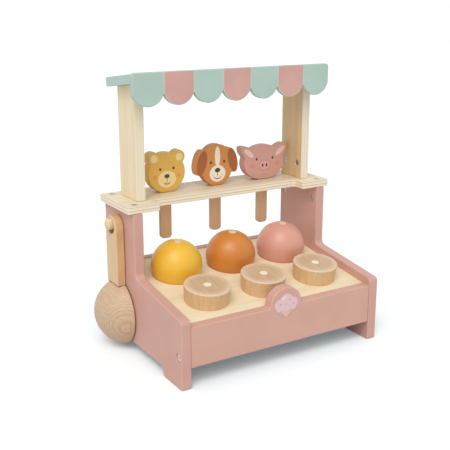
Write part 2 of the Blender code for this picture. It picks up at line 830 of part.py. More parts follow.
def lollies():
    """Three lollies: a flat animal head on a beech stick that drops through a slot in the shelf."""
    half = stick_width / 2
    stick_outline = rounded_outline(
        [
            (-half, -stick_reach, stick_corner),
            (half, -stick_reach, stick_corner),
            (half, stick_in_head, 0),
            (-half, stick_in_head, 0),
        ]
    )
    across = half + bore_gap
    pocket_outline = rectangle(-across, -shelf_thickness, across, stick_in_head + rest_gap)
    pocket_side = stick_thickness / 2 + bore_gap
    for word, (column, paint, shapes) in heads.items():
        seat = guide(f"{word}_lolly_seat", (column * lolly_pitch, lolly_line, shelf_top))
        sized = [(kind, x * MM, z * MM, a * MM, b * MM, turn) for kind, x, z, a, b, turn in shapes]
        name = f"{word}_lolly_head"
        mesh = slab_mesh(name, head_outline(sized), -lolly_thickness / 2, lolly_thickness / 2, "Y")
        head = place(name, mesh, paint, parent=seat)
        soften(head, lolly_round)
        pocket = slab_mesh(f"{word}_lolly_pocket", pocket_outline, -pocket_side, pocket_side, "Y")
        cut(head, f"{word}_lolly_pocket", pocket)
        name = f"{word}_lolly_stick"
        mesh = slab_mesh(name, stick_outline, -stick_thickness / 2, stick_thickness / 2, "Y")
        stick = place(name, mesh, beech, parent=seat)
        soften(stick, stick_round, 1)


def cap_arc(rim, depth, lip, steps):
    """A spherical cap's profile of (radius, depth) points, from beside its rim to its pole."""
    radius = (rim * rim + depth * depth) / (2 * depth)
    start = math.acos((lip - depth + radius) / radius)
    points = []
    for k in range(steps + 1):
        angle = start * (1 - k / steps)
        points.append((radius * math.sin(angle), depth - radius + radius * math.cos(angle)))
    return points


def scoop_peg():
    """The peg, glued into a blind hole in the left panel."""
    spot = (-half_width, column_middle, peg_height)
    peg_end = handle_gap + handle_thickness + peg_beyond_handle
    shoulder = peg_end - peg_dome
    profile = [(0, -peg_in_panel), (peg_radius, -peg_in_panel)]
    for k in range(4):
        angle = math.pi / 2 * k / 4
        profile.append((peg_radius * math.cos(angle), shoulder + peg_dome * math.sin(angle)))
    profile.append((0, peg_end))
    place("scoop_peg", turned_mesh("scoop_peg", profile, round_facets, lay_to_left), beech, spot)
    hole = bore_mesh("peg_hole", peg_radius + glue_gap, -peg_in_panel - rest_gap, cut_lead, round_facets)
    cut(bpy.data.objects["left_side_panel"], "peg_hole", hole, spot, (0, -math.pi / 2, 0))


def scoop():
    """The serving scoop: a half-round bowl with a flat handle let into its rim. It turns about the peg."""
    hang = guide("scoop_hang", (-half_width, column_middle, peg_height))
    eye_radius = peg_radius + hook_play
    eye_drop = hook_play - rest_gap
    round_drop = eye_drop + eye_rise
    bowl_drop = peg_height - bowl_height
    inner_rim = bowl_radius - bowl_wall
    handle_end = -bowl_drop + inner_rim + handle_in_wall
    half = handle_width / 2
    outline = arc(0, -round_drop, half, 0, math.pi, 12) + [(-half, handle_end), (half, handle_end)]
    mesh = slab_mesh("scoop_handle", outline, -handle_gap - handle_thickness, -handle_gap, "X")
    handle = place("scoop_handle", mesh, beech, parent=hang)
    soften(handle, handle_round)
    reach = handle_gap + handle_thickness + cut_lead
    eye = bore_mesh("handle_eye", eye_radius, -cut_lead, reach, round_facets)
    cut(handle, "handle_eye", eye, (0, 0, -eye_drop), (0, -math.pi / 2, 0))

    floor = bowl_depth - bowl_wall
    profile = list(reversed(cap_arc(bowl_radius, bowl_depth, bowl_lip, 10)))
    profile += [(bowl_radius - bowl_lip, 0), (inner_rim + bowl_lip, 0)]
    profile += [p for p in cap_arc(inner_rim, floor, bowl_lip, 7) if p[0] > pocket_radius]
    profile += [(pocket_radius, floor), (pocket_radius, floor + pocket_depth), (0, floor + pocket_depth)]
    mesh = turned_mesh("scoop_bowl", profile, round_facets, lay_to_left)
    bowl = place("scoop_bowl", mesh, beech, (-bowl_gap, 0, -bowl_drop), parent=hang)
    side = half + glue_gap
    seat = rectangle(-side, handle_end - glue_gap, side, handle_end + bowl_wall)
    notch = slab_mesh("handle_seat", seat, -handle_gap - handle_thickness - glue_gap, cut_lead, "X")
    cut(bowl, "handle_seat", notch)
    depth = bowl_gap + floor
    place("scoop_magnet", magnet, white_cap, (-depth, 0, -bowl_drop), (0, math.pi / 2, 0), hang)


balls()
cones()
lollies()
scoop_peg()
scoop()
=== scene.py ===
# %% [markdown]
# # A toy ice cream stand
# The real one is cut from painted board and birch plywood, with turned beech pieces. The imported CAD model
# holds every piece in its place. This lesson builds a finer surface over each of them, at the same size,
# and gives each its finish.

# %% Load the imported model
import math

import bpy
import numpy as np
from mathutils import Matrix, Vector, geometry


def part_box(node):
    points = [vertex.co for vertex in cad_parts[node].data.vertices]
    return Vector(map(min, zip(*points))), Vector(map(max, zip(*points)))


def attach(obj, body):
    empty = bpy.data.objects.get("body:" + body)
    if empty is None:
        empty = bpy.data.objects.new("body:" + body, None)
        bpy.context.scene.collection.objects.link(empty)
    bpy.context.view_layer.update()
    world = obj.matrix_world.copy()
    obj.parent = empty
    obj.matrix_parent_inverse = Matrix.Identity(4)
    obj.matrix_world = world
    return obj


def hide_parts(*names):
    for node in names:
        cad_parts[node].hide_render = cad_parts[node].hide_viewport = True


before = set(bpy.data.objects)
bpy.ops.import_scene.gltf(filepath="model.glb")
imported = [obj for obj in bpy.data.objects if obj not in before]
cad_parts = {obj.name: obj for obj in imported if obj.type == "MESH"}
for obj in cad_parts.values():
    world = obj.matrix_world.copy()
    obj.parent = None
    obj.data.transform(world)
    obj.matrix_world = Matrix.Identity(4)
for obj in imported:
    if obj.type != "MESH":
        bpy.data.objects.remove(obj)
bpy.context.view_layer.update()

MM = 0.001

# %% [markdown]
# ## The maker's frame
# A joiner measures from the middle of the stand, from its front edges and up from the floor, in
# millimetres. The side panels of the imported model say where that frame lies, so every piece below can use
# the joiner's numbers. Pieces that rest on each other leave a small gap, and a bore is that much wider
# than its pin.

# %% The maker's frame
left_low, left_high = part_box("left_side_panel")
right_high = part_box("right_side_panel")[1]
home = np.array([(left_low.x + right_high.x) / 2, left_low.y, 0.0])
half_width = (right_high.x - left_low.x) / 2 / MM
depth = (left_high.y - left_low.y) / MM
panel = (left_high.x - left_low.x) / MM
inner_face = half_width - panel
print("half width", round(half_width, 2), "depth", round(depth, 2), "panel", round(panel, 2))

# %% Sizes that several pieces share, in millimetres
gap, snug = 0.3, 0.1  # the usual gap between two pieces, and a closer one
fine_edge, hole_edge = 0.3, 0.4  # how far a hole's edge is broken
sheet = 12.0  # the back board's and the roof board's thickness
slope = math.radians(8.1)
front_face, tray_start = 1.0, 14.5
board_low, front_top = 26.2, 77.7
column_deep = 88.0
column = depth - column_deep
shelf_low, shelf_top, stand_top = 188.7, 198.7, 361.7
post_inset, half_post = 14.5, 6.5
post_middle = half_width - post_inset - half_post
post_step, post_deep = 20.0, 48.0
post_front = column + post_step
well, well_deep = 4.5, 2.9  # a counterbore's radius and depth
nut, nut_above = 4.0, 22.0  # a barrel nut's radius, and its height above the shelf in a post
sides = ((-1, "left"), (1, "right"))
columns = ((-1, "left"), (0, "middle"), (1, "right"))


def tray_height(y):
    """Height of the tray's face at a distance from the front: a straight slope."""
    return front_top + (y - tray_start) * math.tan(slope)


# %% [markdown]
# ## Grids, loops and boards
# Almost everything here is one of two forms. A board is a flat outline with rounded edges, and a turned
# piece is a profile spun about an axis. Curves with a bevel could draw both, but grids of points, worked
# out with numpy as whole arrays, keep every rounding smooth and every hole exactly where the joiner bores
# it.

# %% Arcs and rounded outlines
def arc(a, b, radius, start, end, steps):
    """Points at angle t from start to end: (a + radius cos t, b + radius sin t)."""
    t = np.linspace(start, end, steps + 1)
    return np.stack([a + radius * np.cos(t), b + radius * np.sin(t)], 1)


def rounded(corners, step=math.radians(9)):
    """A closed outline from (a, b, radius) corners.

    At each corner an arc touches both sides. Its centre lies on the bisector, at a distance of
    radius / sin(half the angle).
    """
    places = np.array([corner[:2] for corner in corners], float)
    outline = []
    for k, (*_, radius) in enumerate(corners):
        corner = places[k]
        if radius == 0:
            outline.append(corner[None])
            continue
        before = places[k - 1] - corner
        after = places[(k + 1) % len(places)] - corner
        before /= np.linalg.norm(before)
        after /= np.linalg.norm(after)
        angle = math.acos(before @ after)
        bisector = (before + after) / np.linalg.norm(before + after)
        centre = corner + bisector * radius / math.sin(angle / 2)
        spoke = corner + before * radius / math.tan(angle / 2) - centre
        clockwise = before[0] * after[1] - before[1] * after[0] > 0
        turn = angle - math.pi if clockwise else math.pi - angle
        t = np.linspace(0, turn, max(3, math.ceil(abs(turn) / step)) + 1)
        cos, sin = np.cos(t), np.sin(t)
        swing = np.stack([spoke[0] * cos - spoke[1] * sin, spoke[0] * sin + spoke[1] * cos], 1)
        outline.append(centre + swing)
    return np.vstack(outline)


def rectangle(a, b, radii=(0, 0)):
    """A rectangle from its two places along a and along b, with one radius for each end of b."""
    low, high = radii
    return rounded([(a[0], b[0], low), (a[1], b[0], low), (a[1], b[1], high), (a[0], b[1], high)])


def anticlockwise(loop):
    """The loop turned so that its inside lies on the left. The sign comes from the shoelace sum."""
    a, b = loop.T
    area = (a * np.roll(b, -1) - b * np.roll(a, -1)).sum()
    return loop if area > 0 else loop[::-1]


def disc(a, b, radius, steps=48):
    """A round loop."""
    return arc(a, b, radius, 0, math.tau * (1 - 1 / steps), steps - 1)


# %% [markdown]
# A board's rim is made of loops. Each loop is the outline moved inward along its mitres while it also
# moves down, so the loops together draw a quarter round. Holes are loops too, turned the other way, so
# that the wood is always on the left. The flat faces between the loops are cut into triangles.

# %% A board with rounded edges and holes
def inset(loop, distance):
    """Each point moved left along its mitre.

    The mitre is the two sides' normals added, over one plus their dot product.
    """
    along = np.roll(loop, -1, 0) - loop
    along = along / np.linalg.norm(along, axis=1, keepdims=True)
    normal = np.stack([-along[:, 1], along[:, 0]], 1)
    before = np.roll(normal, 1, 0)
    return loop + distance * (before + normal) / (1 + (before * normal).sum(1, keepdims=True))


def flat_face(loops, starts, upward, no_area=1e-12):
    """Triangles that fill the space between loops, as indices that begin at each loop's start."""
    flat = [[Vector((a, b, 0)) for a, b in loop] for loop in loops]
    triangles = np.array(geometry.tessellate_polygon(flat))
    index = np.concatenate([np.arange(len(loop)) + start for loop, start in zip(loops, starts)])
    p = np.vstack(loops)[triangles]
    side_1, side_2 = p[:, 1] - p[:, 0], p[:, 2] - p[:, 0]
    area = side_1[:, 0] * side_2[:, 1] - side_1[:, 1] * side_2[:, 0]
    triangles = index[triangles]
    wrong = (area < 0) if upward else (area > 0)
    triangles[wrong] = triangles[wrong][:, ::-1]
    return triangles[np.abs(area) > no_area].tolist()


def hole(loop, edge, floor=None, from_top=True):
    """A hole for a board: right through, or with its floor at a height and its mouth above or below."""
    return loop, edge, floor, from_top


def board(outline, low, high, edge, holes=(), steps=5):
    """A board between two heights, with the rounding of its edge.

    A rim point at angle t of the quarter round lies edge * (1 - sin t) inside its loop, and
    edge * (1 - cos t) below its face. Returns points (a, b, h), faces, and for each point how far it lies on
    a wall and on a rounding.
    """
    points, faces, wall, rim = [], [], [], []
    top, bottom = [], []
    count = 0
    t = np.linspace(0, math.pi / 2, steps + 1)
    loops = [hole(anticlockwise(outline), edge)]
    loops += [hole(anticlockwise(loop)[::-1], *rest) for loop, *rest in holes]
    for loop, soft, floor, from_top in loops:
        drop = soft * (1 - np.cos(t))
        shift = soft * (1 - np.sin(t))
        upper = np.stack([shift, high - drop, np.sin(2 * t), np.sin(t)], 1)
        lower = np.stack([shift, low + drop, np.sin(2 * t), np.sin(t)], 1)[::-1]
        opens_above, opens_below = floor is None or from_top, floor is None or not from_top
        blind = [[0, floor, 0, 1]]
        rows = np.vstack([upper if opens_above else blind, lower if opens_below else blind])
        rings = [inset(loop, distance) for distance in rows[:, 0]]
        size = len(loop)
        for ring, row in zip(rings, rows):
            points.append(np.column_stack([ring, np.full(size, row[1])]))
            rim.append(np.full(size, row[2]))
            wall.append(np.full(size, row[3]))
        index = count + np.arange(len(rows) * size).reshape(len(rows), size)
        after = np.roll(index, -1, 1)
        faces += np.stack([index[:-1], index[1:], after[1:], after[:-1]], -1).reshape(-1, 4).tolist()
        if opens_above:
            top.append((rings[0], index[0, 0]))
        else:
            faces += flat_face([rings[0]], [index[0, 0]], False)
        if opens_below:
            bottom.append((rings[-1], index[-1, 0]))
        else:
            faces += flat_face([rings[-1]], [index[-1, 0]], True)
        count += index.size
    faces += flat_face(*zip(*top), True)
    faces += flat_face(*zip(*bottom), False)
    return np.vstack(points), faces, np.concatenate(wall), np.concatenate(rim)


# %% A turned piece
def turned(profile, facets=72, hexagon=None, thread=None):
    """A profile of (radius, height) from its lower pole to its upper pole, spun about h.

    Point at angle t: (radius cos t, radius sin t, height). A hexagon row has its radius over the cosine
    of t's distance from the middle of its side. A thread adds a ridge that climbs one pitch in each turn.
    """
    profile = np.asarray(profile, float)
    t = np.arange(facets) * math.tau / facets
    radius = np.repeat(profile[1:-1, :1], facets, 1)
    height = np.repeat(profile[1:-1, 1:2], facets, 1)
    if hexagon is not None:
        from_middle = np.mod(t, math.pi / 3) - math.pi / 6
        radius = np.where(np.asarray(hexagon)[1:-1, None], radius / np.cos(from_middle), radius)
    if thread is not None:
        low, high, pitch, ridge = thread
        phase = np.mod(height / pitch - t / math.tau, 1)
        inside = (height > low) & (height < high)
        radius = radius + np.where(inside, ridge * (1 - np.abs(2 * phase - 1)), 0)
    rings = np.stack([radius * np.cos(t), radius * np.sin(t), height], -1)
    points = np.vstack([[[0, 0, profile[0, 1]]], rings.reshape(-1, 3), [[0, 0, profile[-1, 1]]]])
    index = 1 + np.arange(radius.size).reshape(radius.shape)
    after = np.roll(index, -1, 1)
    faces = np.stack([index[:-1], after[:-1], after[1:], index[1:]], -1).reshape(-1, 4).tolist()
    faces += np.stack([np.zeros(facets, int), after[0], index[0]], 1).tolist()
    faces += np.stack([np.full(facets, len(points) - 1), index[-1], after[-1]], 1).tolist()
    return points, faces


# %% [markdown]
# ## Into the scene
# A piece is worked out in its own frame first. Three directions and a starting point carry it into the
# maker's frame, and its grain travels with it as an attribute: metres along the grain, across it and
# through the board. Every piece is cut from another place along the plank, so no two show the same
# figure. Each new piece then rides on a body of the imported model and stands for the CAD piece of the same
# name.

# %% Put a worked-out piece in the scene
X, Y, Z = np.eye(3)
to_front, to_right, to_left = (X, Z, -Y), (Y, Z, X), (Z, Y, -X)
plank_step = 61.0
made = {}


def linked(name, points, faces, ending=""):
    """A mesh object in the scene, from points in metres."""
    mesh = bpy.data.meshes.new(name)
    mesh.from_pydata(points.tolist(), [], faces)
    piece = bpy.data.objects.new(name + ending, mesh)
    bpy.context.scene.collection.objects.link(piece)
    return piece


def put(name, shape, finish, body="stand", directions=(X, Y, Z), start=(0, 0, 0), grain="a",
        smooth=35):
    """Adds a piece that stands for the CAD node of the same name."""
    points, faces = shape[:2]
    directions = np.array(directions, float)
    place = home + (np.asarray(start, float) + points @ directions) * MM
    piece = linked(name, place, faces, "_fine")
    mesh = piece.data
    mesh.shade_smooth()
    mesh.set_sharp_from_angle(angle=math.radians(smooth))
    order = {"a": [0, 1, 2], "b": [1, 0, 2], "c": [2, 0, 1]}[grain]
    cut_from = np.array([plank_step * len(made), 0, 0])
    wood = mesh.attributes.new("wood", "FLOAT_VECTOR", "POINT")
    wood.data.foreach_set("vector", ((points[:, order] + cut_from) * MM).astype(np.float32).ravel())
    for key, values in zip(("wall", "rim"), shape[2:]):
        held = mesh.attributes.new(key, "FLOAT", "POINT")
        held.data.foreach_set("value", values.astype(np.float32))
    mesh.materials.append(finish)
    even = piece.modifiers.new("even shading", "WEIGHTED_NORMAL")
    even.keep_sharp = True
    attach(piece, body)
    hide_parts(name)
    made[name] = len(faces)
    return piece


# %% [markdown]
# A few pockets can't be drawn as a board's hole, because they come in through an edge. They are carved with
# an exact Boolean, which keeps a closed mesh but loses the grain. Grain is place turned and shifted, so
# the old points give that rule by least squares, and the rule gives every new point its grain.

# %% Carve a pocket
def vectors(mesh, name):
    """A vector attribute of a mesh's points, as an array."""
    held = np.empty(len(mesh.vertices) * 3, np.float32)
    mesh.attributes[name].data.foreach_get("vector", held)
    return held.reshape(-1, 3)


def with_one(place):
    """Places with a fourth column of ones, for a rule that also shifts."""
    return np.column_stack([place, np.ones(len(place))])


def carve(piece, low, high):
    """Cuts the box between two corners of the maker's frame out of a piece, and keeps the result."""
    old_place, old_grain = vectors(piece.data, "position"), vectors(piece.data, "wood")
    rule = np.linalg.lstsq(with_one(old_place), old_grain, rcond=None)[0]
    low, high = np.asarray(low, float), np.asarray(high, float)
    pick = np.array([[0, 0, 0], [1, 0, 0], [1, 1, 0], [0, 1, 0], [0, 0, 1], [1, 0, 1], [1, 1, 1], [0, 1, 1]])
    faces = [[0, 3, 2, 1], [4, 5, 6, 7], [0, 1, 5, 4], [1, 2, 6, 5], [2, 3, 7, 6], [3, 0, 4, 7]]
    cutter = linked("cutter", home + (low + pick * (high - low)) * MM, faces)
    cut = piece.modifiers.new("cut", "BOOLEAN")
    cut.object = cutter
    cut.solver = "EXACT"
    piece.modifiers.move(len(piece.modifiers) - 1, 0)
    even = piece.modifiers["even shading"]
    even.show_viewport = False
    bpy.context.view_layer.update()
    carved = bpy.data.meshes.new_from_object(piece.evaluated_get(bpy.context.evaluated_depsgraph_get()))
    even.show_viewport = True
    piece.modifiers.remove(cut)
    grain = with_one(vectors(carved, "position")) @ rule
    carved.attributes["wood"].data.foreach_set("vector", grain.astype(np.float32).ravel())
    piece.data = carved
    bpy.data.objects.remove(cutter)


# %% [markdown]
# ## Recipes for finishes
# A finish is a small recipe of nodes. It reads the grain attribute or the object's own coordinates, so
# the pattern stays on the piece wherever the piece goes. A few helpers keep each recipe short.

# %% Helpers for recipes
def recipe(name, roughness, metallic=0.0):
    """A Principled material. Returns the material, its node tree and its shader."""
    material = bpy.data.materials.new(name)
    material.use_nodes = True
    tree = material.node_tree
    shader = tree.nodes["Principled BSDF"]
    shader.inputs["Roughness"].default_value = roughness
    shader.inputs["Metallic"].default_value = metallic
    return material, tree, shader


def add(tree, kind, settings=None, **inputs):
    """A node with its settings and inputs. An input is a value or another node's output."""
    node = tree.nodes.new("ShaderNode" + kind)
    for key, value in (settings or {}).items():
        setattr(node, key, value)
    for key, value in inputs.items():
        socket = node.inputs[int(key[1:])] if key[0] == "_" else node.inputs[key.replace("_", " ")]
        if isinstance(value, bpy.types.NodeSocket):
            tree.links.new(value, socket)
        else:
            socket.default_value = value
    return node


def own_place(tree):
    """The object's own coordinates, in metres."""
    return add(tree, "TexCoord").outputs["Object"]


def carried(tree, name, output="Fac"):
    """A value that the mesh's points carry."""
    return add(tree, "Attribute", {"attribute_name": name}).outputs[output]


def worked(tree, operation, *values, kind="Math", output=0):
    """One sum on values, or on vectors with kind VectorMath."""
    inputs = {f"_{k}": value for k, value in enumerate(values)}
    return add(tree, kind, {"operation": operation}, **inputs).outputs[output]


def blend(tree, amount, first, second):
    """Mixes two colours by an amount."""
    return add(tree, "Mix", {"data_type": "RGBA"}, _0=amount, _6=first, _7=second).outputs[2]


def spread(tree, value, low, high, to_low=0.0, to_high=1.0):
    """Stretches the part of a value between low and high to a new range."""
    return add(tree, "MapRange", None, _0=value, _1=low, _2=high, _3=to_low, _4=to_high).outputs[0]


def noise(tree, vector, scale, detail=2.0, roughness=0.5, distortion=0.0):
    """Noise as a value about one half."""
    return add(tree, "TexNoise", None, Vector=vector, Scale=scale, Detail=detail, Roughness=roughness,
               Distortion=distortion).outputs[0]


def grain_noise(tree, wood, scales, detail=2.0, roughness=0.5, distortion=0.0):
    """Noise with its own scale along the grain, across it and through the board."""
    stretched = add(tree, "Mapping", None, Vector=wood, Scale=scales).outputs[0]
    return noise(tree, stretched, 1.0, detail, roughness, distortion)


def joined(tree, shader, tone, height, distance, strength):
    """Joins a colour, and a height as a bump, to the shader."""
    tree.links.new(tone, shader.inputs["Base Color"])
    bump = add(tree, "Bump", None, Height=height, Distance=distance, Strength=strength)
    tree.links.new(bump.outputs[0], shader.inputs["Normal"])


# %% Helpers for colours
def colour(r, g, b):
    """A colour as a screen shows it, 0 to 255, as the linear values that the shader needs."""
    c = np.array([r, g, b]) / 255
    linear = np.where(c <= 0.04045, c / 12.92, ((c + 0.055) / 1.055) ** 2.4)
    return (*[float(v) for v in linear], 1.0)


def tones(*shown):
    """Several colours at once."""
    return tuple(colour(*one) for one in shown)


def scaled(tone, *factors):
    """A colour with its channels multiplied, by one factor or by one for each."""
    return (*[min(1.0, c * factor) for c, factor in zip(tone, factors * 3)][:3], 1.0)


def whitened(tone, share):
    """A colour moved a share of the way to white."""
    return (*[c + (1 - c) * share for c in tone[:3]], 1.0)


# %% [markdown]
# ## Satin paint on board
# The panels are sprayed in a satin water-based paint. It isn't one flat colour: it is slightly cloudy,
# has a fine orange-peel skin, lets a trace of the grain through, and is thinner and lighter on the
# rounded edges. The rim attribute of a board tells the recipe where those edges are, which a texture
# alone couldn't know.

# %% Satin paint
def satin_paint(name, tone, roughness=0.5, cloud=0.05, wear=0.07):
    """Paint with clouds, a trace of grain, orange peel and paler edges."""
    material, tree, shader = recipe(name, roughness)
    where, wood = own_place(tree), carried(tree, "wood", "Vector")
    clouds = noise(tree, where, 22.0, 3.0)
    grain = grain_noise(tree, wood, (9, 160, 160), 3.0)
    dark = scaled(tone, 1 - cloud)
    body = blend(tree, spread(tree, clouds, 0.3, 0.7), dark, scaled(tone, 1 + cloud))
    body = blend(tree, spread(tree, grain, 0.35, 0.7, 0.0, 0.35), body, dark)
    patchy = spread(tree, noise(tree, where, 140.0), 0.35, 0.75, 0.3 * wear, 1.6 * wear)
    paler_rim = worked(tree, "MULTIPLY", carried(tree, "rim"), patchy)
    height = worked(tree, "MULTIPLY_ADD", grain, 1.5, noise(tree, where, 900.0, 1.0))
    joined(tree, shader, blend(tree, paler_rim, body, whitened(tone, 0.35)), height, 0.00003, 0.5)
    return material


# %% [markdown]
# ## Birch plywood
# Birch plywood is peeled veneer, glued in layers that cross each other. Its face is pale cream with
# broad, soft figure along the grain. Its edge shows the layers: every other one is end grain and looks
# darker and speckled. Cutting the layers into the mesh would cost thousands of faces, so the recipe
# counts them through the board, and the wall attribute tells it whether it is on an edge.

# %% Birch plywood
def birch_plywood(name, face_tones, edge_tones, ply=1.9, first=0.0, share=0.36):
    """Plywood whose layers are ply millimetres thick, counted through the board from first.

    The count goes up and down between 0 and 1, and a layer is dark where it is over 1 - share.
    """
    material, tree, shader = recipe(name, 0.52)
    wood = carried(tree, "wood", "Vector")
    broad = grain_noise(tree, wood, (4, 45, 4), 2.0, 0.5, 0.6)
    fine = grain_noise(tree, wood, (24, 900, 24), 3.0, 0.6)
    face = blend(tree, spread(tree, broad, 0.35, 0.68), *face_tones)
    face = blend(tree, spread(tree, fine, 0.52, 0.78, 0.0, 0.35), face, scaled(face_tones[1], 0.8))
    through = add(tree, "SeparateXYZ", None, Vector=wood).outputs[2]
    wave = worked(tree, "PINGPONG", worked(tree, "MULTIPLY_ADD", through, 1 / (ply * MM), first), 1.0)
    layer = spread(tree, wave, 1 - share - 0.07, 1 - share + 0.07)
    speck = spread(tree, noise(tree, wood, 1500.0), 0.4, 0.65, 0.35, 1.0)
    edge = blend(tree, worked(tree, "MULTIPLY", layer, speck), *edge_tones)
    tone = blend(tree, spread(tree, carried(tree, "wall"), 0.55, 0.85), face, edge)
    joined(tree, shader, tone, worked(tree, "MULTIPLY_ADD", layer, -0.6, fine), 0.00006, 0.35)
    return material


# %% [markdown]
# ## Beech
# Steamed beech is pinkish tan. Its sign is the fleck: short, darker dashes a few millimetres long that
# lie along the grain. End grain is greyer, with fine parallel rays. Growth rings are nearly flat sheets
# in a small piece, and a turned surface cuts them into the nested ovals that the scoop's bowl shows, so
# the recipe works them out in space and lets the surface do the cutting. Rounded rims are paler: partly
# the wear of hands, partly a painted highlight where a rim catches the light, most on the cones' rims.

# %% Beech
def beech_wood(name, side_tones, wall_tones=None, ring=None, fleck=0.4, rim_wear_and_highlight=0.35):
    """Beech with soft bands and short flecks along the grain, and wall tones on what the wall marks.

    A ring is (direction, spacing in millimetres, share). A place's depth in the rings is its dot product
    with the direction, bent a little by slow noise, and each ring darkens slowly and ends sharply.
    """
    material, tree, shader = recipe(name, 0.5)
    wood = carried(tree, "wood", "Vector")
    flecks = grain_noise(tree, wood, (110, 1100, 1100), 2.0, 0.55)
    long_grain = grain_noise(tree, wood, (14, 330, 330), 3.0)
    tone = blend(tree, spread(tree, long_grain, 0.3, 0.7), *side_tones)
    brown = scaled(side_tones[1], 0.72, 0.62, 0.52)
    tone = blend(tree, spread(tree, flecks, 0.58, 0.74, 0.0, fleck), tone, brown)
    # Wall tones are end grain on the cones' tops; on the scoop's handle they darken its edges, partly edge
    # grain, partly painted shade.
    if wall_tones is not None:
        rays = grain_noise(tree, wood, (40, 800, 45))
        end = blend(tree, spread(tree, rays, 0.36, 0.64), *wall_tones)
        tone = blend(tree, carried(tree, "wall"), tone, end)
    if ring is not None:
        direction, spacing, share = ring
        depth_in = worked(tree, "DOT_PRODUCT", wood, direction, kind="VectorMath", output="Value")
        count = worked(tree, "MULTIPLY_ADD", depth_in, 1 / (spacing * MM), noise(tree, wood, 45.0))
        year = worked(tree, "FRACT", count)
        late, fresh = spread(tree, year, 0.35, 0.92), spread(tree, year, 0.92, 1.0, 1.0, 0.0)
        line = worked(tree, "MULTIPLY", worked(tree, "MINIMUM", late, fresh), share)
        tone = blend(tree, line, tone, brown)
    # Paler rims: partly wear, partly a painted highlight on the rounded edges.
    paler_rim = worked(tree, "MULTIPLY", carried(tree, "rim"), rim_wear_and_highlight)
    joined(tree, shader, blend(tree, paler_rim, tone, whitened(side_tones[0], 0.3)), flecks, 0.00005, 0.35)
    return material


# %% [markdown]
# ## Ball paint, caps and zinc
# The balls have the smoothest skin, so the paint only has faint clouds and a finer peel. The magnet caps
# are an off-white plastic, a little uneven. The fasteners are zinc plated: grey, not mirror-bright, with
# a slight cloud. All three are clouds between two tones with a fine skin, so they share one recipe.

# %% Ball paint, caps and zinc
def clouded(name, pair, roughness, clouds, skin, relief, metallic=0.0, limits=(0.0, 1.0, 0.0, 1.0)):
    """A finish clouded between two tones. Skin is its noise's scale and detail, and relief the bump's."""
    material, tree, shader = recipe(name, roughness, metallic)
    where = own_place(tree)
    tone = blend(tree, spread(tree, noise(tree, where, clouds, 3.0), *limits), *pair)
    joined(tree, shader, tone, noise(tree, where, *skin), *relief)
    return material


def ball_paint(name, pair):
    """Smooth paint whose tone drifts slowly over the ball."""
    return clouded(name, pair, roughness=0.36, clouds=30.0, skin=(1100.0, 1.0), relief=(0.00002, 0.4),
                   limits=(0.35, 0.7, 0.0, 0.55))


def cap_plastic(name, pair):
    """Off-white plastic, a little uneven."""
    return clouded(name, pair, roughness=0.42, clouds=420.0, skin=(700.0, 2.0), relief=(0.00004, 0.4))


def zinc_plate(name, pair):
    """Zinc-plated steel with a slight cloud."""
    return clouded(name, pair, roughness=0.44, clouds=500.0, skin=(2500.0, 2.0), relief=(0.00002, 0.3),
                   metallic=1.0)


# %% [markdown]
# ## The colours
# Each piece is a little different in the light, so boards from one plank still get their own
# pair of tones. Some of them are painted shade: the right post's and the shelf face's darker tones stand in
# for the shade under the roof, over small real differences in the wood. The screws in the panels' outer
# faces are brighter than the other fasteners, and their pink tint is a painted reflection of the paint
# around them.

# %% The colours of the photograph
mint = colour(178, 203, 191)
pink_paint = satin_paint("pink paint", colour(208, 162, 148))
mint_paint = satin_paint("mint paint", mint)
# The shelf's face tones are darker than its edge's: painted shade under the roof and between the heads.
shelf_ply = birch_plywood("shelf plywood", tones((236, 222, 197), (221, 203, 173)),
                          tones((243, 231, 206), (205, 184, 150)), ply=2.2, first=1.4)
tray_ply = birch_plywood("tray plywood", tones((242, 228, 196), (232, 214, 176)),
                         tones((242, 230, 202), (212, 186, 146)))
# The right post's darker, warmer tones are painted shade from the roof and valance, over a real difference
# in the wood.
post_tones_with_painted_shade = {
    "left": (tones((243, 227, 194), (234, 211, 170)), tones((241, 228, 200), (236, 220, 187))),
    "right": (tones((232, 205, 162), (217, 183, 136)), tones((241, 230, 208), (223, 207, 178))),
}
# The cones take the palest rims, a painted highlight on their rounded rim.
cone_beech = beech_wood("cone beech", tones((226, 192, 148), (213, 174, 128)),
                        tones((213, 183, 147), (195, 161, 125)), rim_wear_and_highlight=0.55)
# The scoop's second pair darkens its handle's edges: partly edge grain, partly painted shade.
scoop_beech = beech_wood("scoop beech", tones((228, 198, 158), (218, 184, 142)),
                         tones((220, 177, 130), (210, 164, 116)))
peg_beech = beech_wood("peg beech", tones((240, 212, 172), (230, 196, 152)))
bowl_beech = beech_wood("bowl beech", tones((211, 184, 153), (199, 169, 138)),
                        ring=((-0.86, 0.18, 0.47), 2.3, 0.4))
stick_beech = beech_wood("stick beech", tones((230, 196, 156), (218, 181, 140)))
caps = cap_plastic("magnet cap", tones((238, 226, 196), (250, 242, 218)))
# The caps on the balls are a darker, warmer copy of the same cap plastic: painted shade with a warm cast.
ball_caps_painted_shade = cap_plastic("ball magnet cap", tones((230, 200, 164), (240, 214, 180)))
zinc = zinc_plate("zinc plate", tones((156, 147, 142), (198, 187, 180)))
# The side screws' brighter, pink tones are a painted reflection of the pink paint around them.
screw_plate_pink_reflection = zinc_plate("side screw plate", tones((198, 174, 166), (234, 214, 206)))
print(len(bpy.data.materials), "materials so far")

# %% [markdown]
# ## The side panels
# Each panel is one board: two feet with an arch between them, a sloping front and a column that carries
# the shelf. Two screw holes go through it, and two blind holes for barrel nuts are bored from the inside.
# One outline, laid left and right, makes both.

